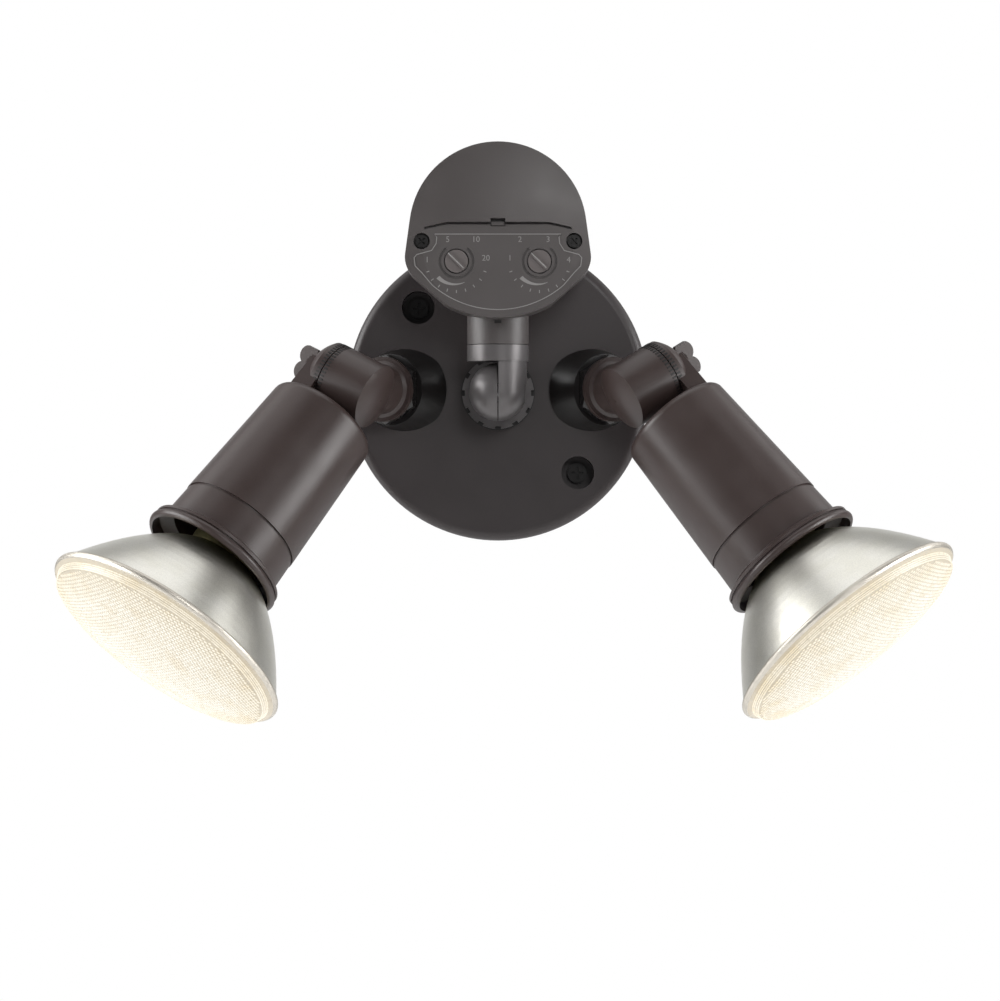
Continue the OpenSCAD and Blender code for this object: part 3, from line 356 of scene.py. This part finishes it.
def enamel(name, base, rough, grain, grain_height, spread=0.16, metal=0.0, coat=0.0):
    """A painted, cast or moulded surface with fine grain and faint clouding."""
    f = Finish(name)
    clouds = f.noise(CLOUD, 4)
    fine = f.noise(grain, 2)
    shade = f.mix(clouds, tint(base, 1 - spread), tint(base, 1 + spread))
    speck = f.steps(fine, 0.3, 0.75)
    shade = f.mix(speck * 0.25, shade, tint(base, 1 + 2 * spread))
    return f.surface(base_color=shade, roughness=f.steps(clouds, 0.3, 0.7, rough - 0.05, rough + 0.05),
                     metallic=metal, coat_weight=coat, normal=f.bump(fine, grain_height))


def turned_metal(name, base, rough, pitch, depth, origin=(0, 0, 0), axis=(0, 0, 1)):
    """Plated or drawn metal with fine turned or threaded rings along an axis."""
    f = Finish(name)
    rings = (f.along(origin, axis) * (2 * math.pi / pitch)).wave()
    fine = f.noise(0.0006, 3)
    return f.surface(base_color=f.mix(f.noise(0.006, 3), tint(base, 0.82), tint(base, 1.12)),
                     roughness=f.steps(fine, 0.3, 0.7, rough - 0.06, rough + 0.08), metallic=1.0,
                     normal=f.bump(rings * 0.5 + fine * 0.25, depth))


def silvered_glass(name, base, side):
    """Frosted silvered glass with a sparkle, darker and yellower toward the lamp holder: a painted reflection
    of the dark holder.
    """
    f = Finish(name)
    centre, axis = bulb_axis(side)
    edge = span(side + "_reflector", centre, axis).high
    # Painted reflection: the silver turns darker and yellower toward the lamp holder
    height = f.steps(f.along(centre, axis), edge - HOLDER_REFLECTION_START, edge - HOLDER_REFLECTION_END)
    sparkle = f.noise(0.0006, 2)
    blotch = f.steps(f.noise(0.012, 2, 0.5), 0.35, 0.65, 0.90, 1.0)
    shade = f.mix(height * blotch, HOLDER_REFLECTION_SILVER, base)
    flecks = f.mix(f.steps(sparkle, 0.35, 0.7), tint(base, 0.78), tint(base, 1.10))
    return f.surface(base_color=f.mix(0.45, shade, flecks, "MULTIPLY"), metallic=1.0,
                     roughness=f.steps(sparkle, 0.3, 0.7, 0.30, 0.40), normal=f.bump(sparkle, 0.00002))


def lit_lens(name, side, colours, body, edge_colour, shade, strength):
    """Warm lit glass: bright on the prisms, tan between them and toward the edge."""
    f = Finish(name)
    centre, axis = bulb_axis(side)
    rim = span(side + "_lens", centre, axis).widest
    edge = f.steps(f.from_axis(centre, axis), rim * EDGE_START, rim * EDGE_END)
    patches = f.steps(f.noise(0.014, 3, 0.55), 0.50, 0.70)
    glint = f.steps(f.noise(0.0016, 1), 0.25, 0.50)
    warm = f.mix(patches * 0.65 + edge * 0.60, getattr(colours, body), edge_colour)
    tone = f.mix(glint, tint(colours.valley, shade), warm)
    return f.surface(base_color=tint(colours.glow, 0.22), roughness=0.22, emission_color=tone,
                     emission_strength=strength, coat_weight=0.1,
                     normal=f.bump(f.noise(0.0012, 2), 0.00015))


def board(name):
    """A circuit board's solder mask with a pattern of traces."""
    f = Finish(name)
    lines = f.add("ShaderNodeTexBrick", None,
                  {"Vector": f.place(), "Scale": 180.0, "Color1": (0.02, 0.14, 0.05),
                   "Color2": (0.02, 0.12, 0.05), "Mortar": (0.05, 0.24, 0.09)})
    return f.surface(base_color=lines, roughness=0.35, coat_weight=0.2,
                     normal=f.bump(f.noise(0.001, 2), 0.00003))


def fresnel_lens(name):
    """The sensor's milky lens, with fine ribs."""
    f = Finish(name)
    across = f.add("ShaderNodeSeparateXYZ", None, {"Vector": f.place()}, output="X")
    ribs = (across * (2 * math.pi / 0.004)).wave()
    return f.surface(base_color=f.mix(f.noise(0.01, 2), (0.80, 0.80, 0.77), (0.88, 0.88, 0.85)),
                     roughness=0.35, normal=f.bump(ribs, 0.0003))


def studio():
    """The world: white to the camera, and a grey room, lighter behind the light, to the rest."""
    world = bpy.data.worlds.new("studio")
    world.use_nodes = True
    f = Finish.on(world.node_tree)
    path = {ray: f.add("ShaderNodeLightPath", output="Is " + ray + " Ray")
            for ray in ("Camera", "Glossy", "Transmission")}
    direction = f.add("ShaderNodeTexCoord", output="Generated")
    behind = f.add("ShaderNodeSeparateXYZ", None, {0: direction}, output="Y")
    room = f.steps(behind, *ROOM_MIRRORED)
    mirrored = path["Glossy"].or_more(path["Transmission"])
    seen = ROOM_LIGHT * (1 - mirrored) + room * mirrored
    back = f.add("ShaderNodeBackground", None, {"Color": (1, 1, 1), "Strength": seen.or_more(path["Camera"])})
    f.add("ShaderNodeOutputWorld", None, {"Surface": back})
    return world


@functools.cache
def finish_for(name):
    """The named finish, made once."""
    colours = bpy.context.scene.security_light_colours
    if name in ENAMELS:
        base, rough, grain, grain_height, rest = ENAMELS[name]
        return enamel(name, base or getattr(colours, name), rough, grain, grain_height, **rest)
    if name in METALS:
        return turned_metal(name, *METALS[name])
    if name == "board":
        return board(name)
    if name == "sensor_white":
        return fresnel_lens(name)
    side, kind = name.split("_")
    if kind == "silver":
        return silvered_glass(name, colours.silver, side)
    if kind == "rim":
        return turned_metal(name, colours.rim, *RIM_METAL, *bulb_axis(side))
    if kind == "base":
        return turned_metal(name, *BASE_METAL, *bulb_axis(side))
    return lit_lens(name, side, colours, *GLASS[kind])


def dress(finish, *nodes):
    """Gives a finish to carried-over nodes."""
    material = finish_for(finish)
    for node in nodes:
        mesh = NODES[node].data
        mesh.materials.clear()
        mesh.materials.append(material)


# Pieces

def new_piece(name, mesh, body, finish=None):
    """A piece of the light, with its place in its mesh, riding on a body."""
    mesh.name = name
    if finish:
        mesh.materials.clear()
        mesh.materials.append(finish_for(finish))
    piece = bpy.data.objects.new(name, mesh)
    bpy.context.scene.collection.objects.link(piece)
    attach(piece, body)
    return piece


class Tree:
    """A geometry tree under construction, with named inputs."""

    def __init__(self, name, sizes):
        self.tree = bpy.data.node_groups.new(name, "GeometryNodeTree")
        self.tree.interface.new_socket("Geometry", in_out="OUTPUT", socket_type="NodeSocketGeometry")
        self.sizes = sizes
        self.sockets = {}
        for key, value in sizes.items():
            kind = "NodeSocketInt" if isinstance(value, int) else "NodeSocketFloat"
            self.sockets[key] = self.tree.interface.new_socket(key, in_out="INPUT", socket_type=kind)
        self.inputs = self.tree.nodes.new("NodeGroupInput")

    def size(self, key):
        """One of the tree's named inputs."""
        return self.inputs.outputs[key]

    def node(self, kind, settings=None, inputs=None):
        """A new node with its settings and inputs."""
        node = self.tree.nodes.new(kind)
        for key, value in (settings or {}).items():
            setattr(node, key, value)
        for key, value in (inputs or {}).items():
            if isinstance(value, bpy.types.NodeSocket):
                self.tree.links.new(value, node.inputs[key])
            else:
                node.inputs[key].default_value = value
        return node

    def maths(self, operation, *terms):
        """The result of a sum on sockets and numbers."""
        return self.node("ShaderNodeMath", {"operation": operation}, dict(enumerate(terms))).outputs[0]

    def mesh(self, geometry, finish):
        """The finished mesh: the tree ends in real geometry with its material."""
        real = self.node("GeometryNodeRealizeInstances", None, {0: geometry})
        painted = self.node("GeometryNodeSetMaterial", None,
                            {"Geometry": real.outputs[0], "Material": finish_for(finish)})
        end = self.tree.nodes.new("NodeGroupOutput")
        self.tree.links.new(painted.outputs[0], end.inputs[0])
        holder = bpy.data.objects.new("builder", bpy.data.meshes.new("builder"))
        bpy.context.scene.collection.objects.link(holder)
        modifier = holder.modifiers.new("shape", "NODES")
        modifier.node_group = self.tree
        for key, value in self.sizes.items():
            modifier[self.sockets[key].identifier] = value
        bpy.context.view_layer.update()
        evaluated = holder.evaluated_get(bpy.context.evaluated_depsgraph_get())
        result = bpy.data.meshes.new_from_object(evaluated)
        bpy.data.objects.remove(holder)
        return result


def ring_of_blocks(name, count, radius, block, turn, finish):
    """Blocks of a height, width and length spread round the Z axis, each with its length along Z."""
    height, width, depth = block
    t = Tree(name, {"Count": count, "Radius": radius, "Width": width, "Length": depth, "Height": height,
                    "Turn": turn})
    circle = t.node("GeometryNodeMeshCircle", None, {"Vertices": t.size("Count"), "Radius": t.size("Radius")})
    about_z = t.node("ShaderNodeCombineXYZ", None, {"Z": t.size("Turn")})
    spots = t.node("GeometryNodeTransform", None, {"Geometry": circle.outputs[0],
                                                   "Rotation": about_z.outputs[0]})
    shape = t.node("ShaderNodeCombineXYZ", None, {"X": t.size("Height"), "Y": t.size("Width"),
                                                 "Z": t.size("Length")})
    cube = t.node("GeometryNodeMeshCube", None, {"Size": shape.outputs[0]})
    outward = t.node("FunctionNodeAlignRotationToVector", {"axis": "X"},
                     {"Vector": t.node("GeometryNodeInputPosition").outputs[0]})
    copies = t.node("GeometryNodeInstanceOnPoints", None,
                    {"Points": spots.outputs[0], "Instance": cube.outputs[0], "Rotation": outward.outputs[0]})
    return t.mesh(copies.outputs[0], finish)


def prism_lattice(name, pitch, height, reach, dome, finish):
    """Low prisms in a staggered lattice over a dome whose top is at the origin."""
    rows = int(reach / pitch / ROW_STEP) + 2
    t = Tree(name, {"Pitch": pitch, "Height": height, "Reach": reach, "Dome": dome, "Rows": 2 * rows + 1})
    count = t.size("Rows")
    width = t.maths("MULTIPLY", t.maths("SUBTRACT", count, 1.0), t.size("Pitch"))
    tall = t.maths("MULTIPLY", width, ROW_STEP)
    grid = t.node("GeometryNodeMeshGrid", None, {"Size X": width, "Size Y": tall, "Vertices X": count,
                                                 "Vertices Y": count})
    split = t.node("ShaderNodeSeparateXYZ", None, {0: t.node("GeometryNodeInputPosition").outputs[0]})
    x, y = split.outputs[0], split.outputs[1]
    row = t.maths("ROUND", t.maths("DIVIDE", y, t.maths("MULTIPLY", t.size("Pitch"), ROW_STEP)))
    odd = t.maths("ABSOLUTE", t.maths("MODULO", row, 2.0))
    moved = t.maths("ADD", x, t.maths("MULTIPLY", t.maths("MULTIPLY", odd, 0.5), t.size("Pitch")))
    square = t.maths("ADD", t.maths("MULTIPLY", moved, moved), t.maths("MULTIPLY", y, y))
    drop = t.maths("DIVIDE", square, t.maths("MULTIPLY", t.size("Dome"), -2.0))
    spot = t.node("ShaderNodeCombineXYZ", None, {0: moved, 1: y, 2: drop})
    placed = t.node("GeometryNodeSetPosition", None, {"Geometry": grid.outputs[0],
                                                      "Position": spot.outputs[0]})
    where = t.node("ShaderNodeSeparateXYZ", None, {0: t.node("GeometryNodeInputPosition").outputs[0]})
    flat = t.maths("SQRT", t.maths("ADD", t.maths("MULTIPLY", where.outputs[0], where.outputs[0]),
                                   t.maths("MULTIPLY", where.outputs[1], where.outputs[1])))
    inside = t.node("FunctionNodeCompare", {"data_type": "FLOAT", "operation": "LESS_THAN"},
                    {0: flat, 1: t.size("Reach")})
    ball = t.node("GeometryNodeMeshIcoSphere", None,
                  {"Radius": t.maths("MULTIPLY", t.size("Pitch"), PRISM_RADIUS), "Subdivisions": 1})
    flatness = t.maths("DIVIDE", t.size("Height"), t.maths("MULTIPLY", t.size("Pitch"), 0.5))
    squat = t.node("ShaderNodeCombineXYZ", None, {0: 1.0, 1: 1.0, 2: flatness})
    copies = t.node("GeometryNodeInstanceOnPoints", None,
                    {"Points": placed.outputs[0], "Selection": inside.outputs[0],
                     "Instance": ball.outputs[0], "Scale": squat.outputs[0]})
    return t.mesh(copies.outputs[0], finish)


def closed_mesh(loops):
    """A closed skin over loops of as many points, each joined to the next and the last to the first."""
    bm = bmesh.new()
    rings = [[bm.verts.new(point) for point in loop] for loop in loops]
    for a, b in zip(rings, rings[1:] + rings[:1]):
        for k in range(len(a)):
            bm.faces.new((a[k - 1], a[k], b[k], b[k - 1]))
    bmesh.ops.recalc_face_normals(bm, faces=bm.faces)
    mesh = bpy.data.meshes.new("closed")
    bm.to_mesh(mesh)
    bm.free()
    return mesh


def turned(profile, sides):
    """A closed ring or solid turned from an outline of radius and height."""
    around = [2 * math.pi * k / sides for k in range(sides)]
    mesh = closed_mesh([[(r * math.cos(angle), r * math.sin(angle), z) for angle in around]
                        for r, z in profile])
    for face in mesh.polygons:
        face.use_smooth = True
    return mesh


def mesh_of(curve):
    """The mesh of a curve or a text."""
    holder = bpy.data.objects.new("builder", curve)
    bpy.context.scene.collection.objects.link(holder)
    bpy.context.view_layer.update()
    mesh = bpy.data.meshes.new_from_object(holder.evaluated_get(bpy.context.evaluated_depsgraph_get()))
    bpy.data.objects.remove(holder)
    return mesh


def flat_mesh(outline, thickness):
    """A plate from a closed outline, lying in XY with its middle at Z = 0."""
    curve = bpy.data.curves.new("plate", "CURVE")
    curve.dimensions = "2D"
    curve.fill_mode = "BOTH"
    curve.extrude = thickness / 2
    spline = curve.splines.new("POLY")
    spline.points.add(len(outline) - 1)
    for point, (x, y) in zip(spline.points, outline):
        point.co = (x, y, 0, 1)
    spline.use_cyclic_u = True
    return mesh_of(curve)


def rectangle(width, height):
    """The outline of a rectangle round the origin."""
    x, y = width / 2, height / 2
    return [(-x, -y), (x, -y), (x, y), (-x, y)]


def number_mesh(text, height):
    """A plain number as a flat mesh, with its middle at the origin."""
    curve = bpy.data.curves.new("number", "FONT")
    curve.body, curve.size, curve.extrude = text, height * FONT_SCALE, MARK_THICKNESS / 2
    curve.resolution_u = 3
    curve.align_x, curve.align_y = "CENTER", "CENTER"
    return mesh_of(curve)


def inward(loop, width):
    """A closed loop of points, drawn in by a width; it runs anticlockwise."""
    moved = []
    for i, (x, z) in enumerate(loop):
        (xa, za), (xb, zb) = loop[i - 1], loop[(i + 1) % len(loop)]
        reach = math.hypot(xb - xa, zb - za)
        moved.append((x - (zb - za) / reach * width, z + (xb - xa) / reach * width))
    return moved


def line_mesh(outer, inner, thickness):
    """A raised line between two loops of as many points, with its middle at Z = 0."""
    half = thickness / 2
    return closed_mesh([[(x, y, z) for x, y in points]
                        for points, z in ((outer, half), (inner, half), (inner, -half), (outer, -half))])


def lay_on_face(mesh, tilt_height):
    """Lets a flat piece on the dial panel follow the cover's round edge."""
    for vertex in mesh.vertices:
        x, z = vertex.co.x, vertex.co.z - tilt_height - DOME_HEIGHT
        sag = DOME_RADIUS - math.sqrt(DOME_RADIUS ** 2 - x * x - z * z)
        vertex.co.y += max(sag - DOME_STEP, 0)


def panel_outline(foot, rise):
    """The dial panel's outline: a round foot, then up each side and round the screws."""
    points = []
    for k in range(-ROUND_STEPS, ROUND_STEPS + 1):
        angle = math.radians(k * ROUND_STEP)
        points.append((PANEL_ROUND * math.sin(angle), foot + ROUND_CENTRE - PANEL_ROUND * math.cos(angle)))
    right = [(0.0353, foot + 0.0206), (0.0384, foot + 0.0238), (0.0389, rise - 0.0093),
             (0.0375, rise - 0.0077), (0.0345, rise - 0.0069), (0.0307, rise - 0.0059),
             (0.0287, rise - 0.0028), (0.0284, rise), (0.0292, rise + 0.0017)]
    return points + right + [(-x, z) for x, z in reversed(right)]


def dial_marks(name, dial, height):
    """The numbers, ticks and wedge round a dial, as flat meshes; the wedge's light colour is a painted
    highlight for a raised crescent.
    """
    def spot(radius, angle):
        return dial.x + radius * math.cos(angle), dial.z + radius * math.sin(angle)

    marks = []
    for text, x, z in NUMBERS[name]:
        marks.append(number_mesh(text, height))
        marks[-1].transform(Matrix.Translation((dial.x + x / 1000, dial.z + z / 1000, 0)))
    for step in range(TICKS):
        angle = math.radians(TICK_START + step * TICK_STEP)
        marks.append(flat_mesh(rectangle(*TICK_SIZE), MARK_THICKNESS))
        marks[-1].transform(Matrix.Translation((*spot(TICK_RADIUS, angle), 0))
                            @ Matrix.Rotation(angle - math.pi / 2, 4, "Z"))
    wedge = [(WEDGE_OUTER - WEDGE_TAPER * step / WEDGE_STEPS, math.radians(WEDGE_START + step * WEDGE_STEP))
             for step in range(WEDGE_STEPS + 1)]
    wedge += [(WEDGE_INNER, angle) for _, angle in reversed(wedge)]
    marks.append(flat_mesh([spot(radius, angle) for radius, angle in wedge], MARK_THICKNESS))
    return marks


def lens_profile(top, band, reach, dome):
    """Half of a lens's glass skin: up its band, over its dome, and back inside."""
    outside = [(band - inset, top - drop) for inset, drop in BAND_PROFILE]
    for k in range(DOME_STEPS + 1):
        along = reach * (1 - k / DOME_STEPS)
        outside.append((max(along, DOME_CORE), top - dome + math.sqrt(dome * dome - along ** 2)))
    return outside + [(r * SKIN_SHRINK, z - SKIN) for r, z in reversed(outside)]


def joined(meshes):
    """One mesh from several."""
    bm = bmesh.new()
    for mesh in meshes:
        bm.from_mesh(mesh)
    result = bpy.data.meshes.new("joined")
    bm.to_mesh(result)
    bm.free()
    return result


# Operators

class SECURITYLIGHT_OT_metalwork(bpy.types.Operator):
    """Gives the canopy, arms and lamp holders their bronze enamel, and the fastenings theirs"""
    bl_idname = "security_light.metalwork"
    bl_label = "Metalwork"

    def execute(self, context):
        # The canopy's darker enamel is painted shade
        dress("canopy", "canopy")
        for side in SIDES:
            dress("bronze", side + "_stem", side + "_lamp_holder", side + "_wing_screw")
            dress("nut", side + "_locknut")
            dress("wedge", side + "_wedge_gasket")
            # The neck ring inside each lamp holder's mouth is near-black: painted shade for the dark mouth
            dress("notch", side + "_neck_ring")
        dress("rubber", "wall_gasket", "sensor_washer")
        dress("black_steel", "cover_screws")
        dress("zinc", "crossbar")
        dress("green_steel", "ground_screw")
        return {"FINISHED"}


class SECURITYLIGHT_OT_knuckles(bpy.types.Operator):
    """Lays the teeth along the seams of the two knuckles, near-black as painted shade for the gaps between
    them
    """
    bl_idname = "security_light.knuckles"
    bl_label = "Knuckle teeth"

    def execute(self, context):
        sizes = context.scene.security_light_sizes
        pitch = 2 * math.pi / sizes.tooth_count
        block = (TOOTH_HEIGHT, TOOTH_RADIUS * pitch * TOOTH_WIDTH, sizes.tooth_length)
        for side in SIDES:
            centre, axis = joint_axis(side + "_wing_turn", side + "_wing_screw")
            seam = span(side + "_pivot_insert", centre, axis).high
            halves = (("arm", seam - sizes.tooth_length / 2, 0.0),
                      ("lamp", seam + SEAM_GAP + sizes.tooth_length / 2, pitch / 2))
            for body, height, turn in halves:
                name = side + "_" + body + "_teeth"
                mesh = ring_of_blocks(name, sizes.tooth_count, TOOTH_RADIUS, block, turn, "notch")
                mesh.transform(place_on(centre + axis * height, axis))
                new_piece(name, mesh, side + "_" + body)
        return {"FINISHED"}


class SECURITYLIGHT_OT_bulbs(bpy.types.Operator):
    """Lights the bulbs: prismatic lens, silvered reflector, crimped rim and screw base"""
    bl_idname = "security_light.bulbs"
    bl_label = "Bulbs"

    def execute(self, context):
        sizes = context.scene.security_light_sizes
        for side in SIDES:
            dress(side + "_valley", side + "_lens")
            dress(side + "_silver", side + "_reflector")
            dress(side + "_rim", side + "_rim_ring")
            dress(side + "_base", side + "_bulb_base")
            dress("black_glass", side + "_bulb_contact")
            dress("burner", side + "_burner")
            centre, axis = bulb_axis(side)
            lens = span(side + "_lens", centre, axis)
            band = lens.widest - BAND_INSET
            reach = band - DOME_INSET
            dome = (reach * reach + DOME_SHOULDER * DOME_SHOULDER) / (2 * DOME_SHOULDER)
            top = lens.high + SKIN
            upright = place_on(centre, axis)
            mesh = turned(lens_profile(top, band, reach, dome), LENS_SIDES)
            mesh.transform(upright)
            new_piece(side + "_lens_front", mesh, side + "_bulb", side + "_valley")
            mesh = prism_lattice(side + "_prisms", sizes.prism_pitch, sizes.prism_height, reach, dome,
                                 side + "_crest")
            turn = Matrix.Rotation(math.radians(PRISM_TURN[side]), 4, "Z")
            mesh.transform(place_on(centre + axis * top, axis) @ turn)
            new_piece(side + "_prisms", mesh, side + "_bulb")
            sixths = [k * math.pi / 3 for k in range(6)]
            ridges = [turned([(band - RIDGE_RADIUS * i + RIDGE_RADIUS * math.cos(angle),
                               top - RIDGE_FOOT + i * RIDGE_PITCH + RIDGE_RADIUS * math.sin(angle))
                              for angle in sixths], RIDGE_SIDES) for i in range(sizes.band_ridges)]
            mesh = joined(ridges)
            mesh.transform(upright)
            new_piece(side + "_lens_ridges", mesh, side + "_bulb", side + "_crest")
        return {"FINISHED"}


class SECURITYLIGHT_OT_sockets(bpy.types.Operator):
    """Finishes the sockets, the leads and the pieces inside the canopy"""
    bl_idname = "security_light.sockets"
    bl_label = "Sockets and wiring"

    def execute(self, context):
        for side in SIDES:
            dress("porcelain", side + "_socket")
            dress("brass", side + "_screw_shell", side + "_centre_contact", side + "_pivot_insert")
            dress("zinc", side + "_socket_screws")
            dress("wire", side + "_stem_leads")
        dress("wire", "canopy_leads")
        dress("orange", "splice_caps")
        return {"FINISHED"}


class SECURITYLIGHT_OT_sensor(bpy.types.Operator):
    """Finishes the motion sensor: shells, swivel, panel line, numbers, ticks and dials. The panel line, the
    knobs' ribs and the wedges are light, a painted highlight; the collar slot is near-black, a painted shade.
    """
    bl_idname = "security_light.sensor"
    bl_label = "Motion sensor"

    def execute(self, context):
        sizes = context.scene.security_light_sizes
        dress("plastic", "sensor_housing", "dial_cover")
        dress("swivel", "sensor_stem", "sensor_neck", "sensor_locknut")
        dress("zinc", "sensor_pivot_screw", "heat_detector")
        dress("sensor_white", "sensor_lens")
        dress("rubber", "housing_seal")
        dress("black_steel", "housing_screws")
        dress("board", "circuit_board")
        dress("relay", "relay", "dial_pots")
        dress("knob", "timer_knob", "range_knob")
        tilt = JOINTS["sensor_tilt"]["pos_m"][2]
        dials = {name: Vector(JOINTS[name + "_dial_turn"]["pos_m"]) for name in ("timer", "range")}
        upright = Matrix.Rotation(math.radians(90), 4, "X")
        stand = Matrix.Translation((0, PANEL_FACE, 0)) @ upright
        outline = panel_outline(PANEL_FOOT + tilt, PANEL_RISE + tilt)
        border = line_mesh(outline, inward(outline, PANEL_LINE), sizes.border_height)
        border.transform(stand)
        lay_on_face(border, tilt)
        # The raised line round the panel is lighter: a painted highlight on its edge
        new_piece("dial_border", border, "sensor_head", "ink")
        # A near-black plate on the collar: painted shade for a slot
        slot = flat_mesh(rectangle(*SLOT_SIZE), SLOT_DEPTH)
        slot.transform(Matrix.Translation(SLOT_PLACE) @ upright)
        new_piece("collar_slot", slot, "sensor_head", "notch")
        for name, dial in dials.items():
            front = span(name + "_knob", dial, (0, -1, 0)).high
            # A thin light line along the knob's rib: painted highlight on its crest
            crest_highlight = turned([(RIB_RADIUS, RIB_FOOT), (RIB_RADIUS, RIB_TIP), (RIB_CORE, RIB_TIP),
                          (RIB_CORE, RIB_FOOT)], RIB_SIDES)
            crest_highlight.transform(Matrix.Translation(dial - Vector((0, front, 0)))
                          @ Matrix.Rotation(math.radians(RIB_ANGLE), 4, "Y"))
            new_piece(name + "_rib", crest_highlight, name + "_dial", "ink")
        # Numbers and ticks in ink, and the wedges lighter as a painted highlight
        marks = joined([mark for name, dial in dials.items()
                        for mark in dial_marks(name, dial, sizes.numeral_height)])
        marks.transform(Matrix.Translation((0, -MARK_LIFT, 0)) @ stand)
        lay_on_face(marks, tilt)
        new_piece("dial_markings", marks, "sensor_head", "ink")
        return {"FINISHED"}


class SECURITYLIGHT_OT_stage(bpy.types.Operator):
    """Sets the floor, the studio lights, the world and the camera"""
    bl_idname = "security_light.stage"
    bl_label = "Stage"

    def execute(self, context):
        scene = context.scene
        scene.view_settings.view_transform = "Standard"
        floor = bpy.data.meshes.new("floor")
        corners = [(x * FLOOR_REACH, y * FLOOR_REACH, FLOOR_HEIGHT)
                   for x, y in ((-1, -1), (1, -1), (1, 1), (-1, 1))]
        floor.from_pydata(corners, [], [(0, 1, 2, 3)])
        ground = bpy.data.objects.new("floor", floor)
        scene.collection.objects.link(ground)
        f = Finish("floor")
        seen = f.add("ShaderNodeLightPath", None, None, "Is Camera Ray")
        plain = f.add("ShaderNodeBsdfPrincipled", None, {"Base Color": (0.85, 0.85, 0.85), "Roughness": 0.9})
        white = f.add("ShaderNodeEmission", None, {"Color": (1, 1, 1), "Strength": 1.0})
        shader = f.add("ShaderNodeMixShader", None, {0: seen, 1: plain, 2: white})
        f.add("ShaderNodeOutputMaterial", None, {"Surface": shader})
        floor.materials.append(f.material)
        scene.world = studio()
        for name, spot, aim, power, width, height in LIGHTS:
            data = bpy.data.lights.new(name, "AREA")
            data.shape = "RECTANGLE"
            data.energy, data.size, data.size_y = power, width, height
            lamp = bpy.data.objects.new(name, data)
            lamp.location = spot
            lamp.rotation_euler = (Vector(aim) - Vector(spot)).to_track_quat("-Z", "Y").to_euler()
            scene.collection.objects.link(lamp)
        data = bpy.data.cameras.new("camera")
        data.lens, data.sensor_width = CAMERA_LENS, CAMERA_SENSOR
        camera = bpy.data.objects.new("camera", data)
        camera.location = (CAMERA_X, -scene.security_light_sizes.camera_distance, CAMERA_Z)
        camera.rotation_euler = (math.radians(90), 0, 0)
        scene.collection.objects.link(camera)
        scene.camera = camera
        return {"FINISHED"}


class SECURITYLIGHT_PT_panel(bpy.types.Panel):
    """Lists the steps that dress the light"""
    bl_label = "Security light"
    bl_idname = "SECURITYLIGHT_PT_panel"
    bl_space_type = "VIEW_3D"
    bl_region_type = "UI"
    bl_category = "Security light"

    def draw(self, context):
        for group in (context.scene.security_light_sizes, context.scene.security_light_colours):
            for name in group.__annotations__:
                self.layout.prop(group, name)
        for step in STEPS:
            self.layout.operator(step.bl_idname)


STEPS = (SECURITYLIGHT_OT_stage, SECURITYLIGHT_OT_metalwork, SECURITYLIGHT_OT_knuckles,
         SECURITYLIGHT_OT_bulbs, SECURITYLIGHT_OT_sockets, SECURITYLIGHT_OT_sensor)
CLASSES = (SecurityLightSizes, SecurityLightColours, *STEPS, SECURITYLIGHT_PT_panel)


def register():
    for cls in CLASSES:
        bpy.utils.register_class(cls)
    bpy.types.Scene.security_light_sizes = PointerProperty(type=SecurityLightSizes)
    bpy.types.Scene.security_light_colours = PointerProperty(type=SecurityLightColours)


def unregister():
    del bpy.types.Scene.security_light_colours
    del bpy.types.Scene.security_light_sizes
    for cls in reversed(CLASSES):
        bpy.utils.unregister_class(cls)


def main():
    """Registers the add-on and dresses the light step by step."""
    register()
    bpy.ops.security_light.stage()
    bpy.ops.security_light.metalwork()
    bpy.ops.security_light.knuckles()
    bpy.ops.security_light.bulbs()
    bpy.ops.security_light.sockets()
    bpy.ops.security_light.sensor()


if __name__ == "__main__":
    main()
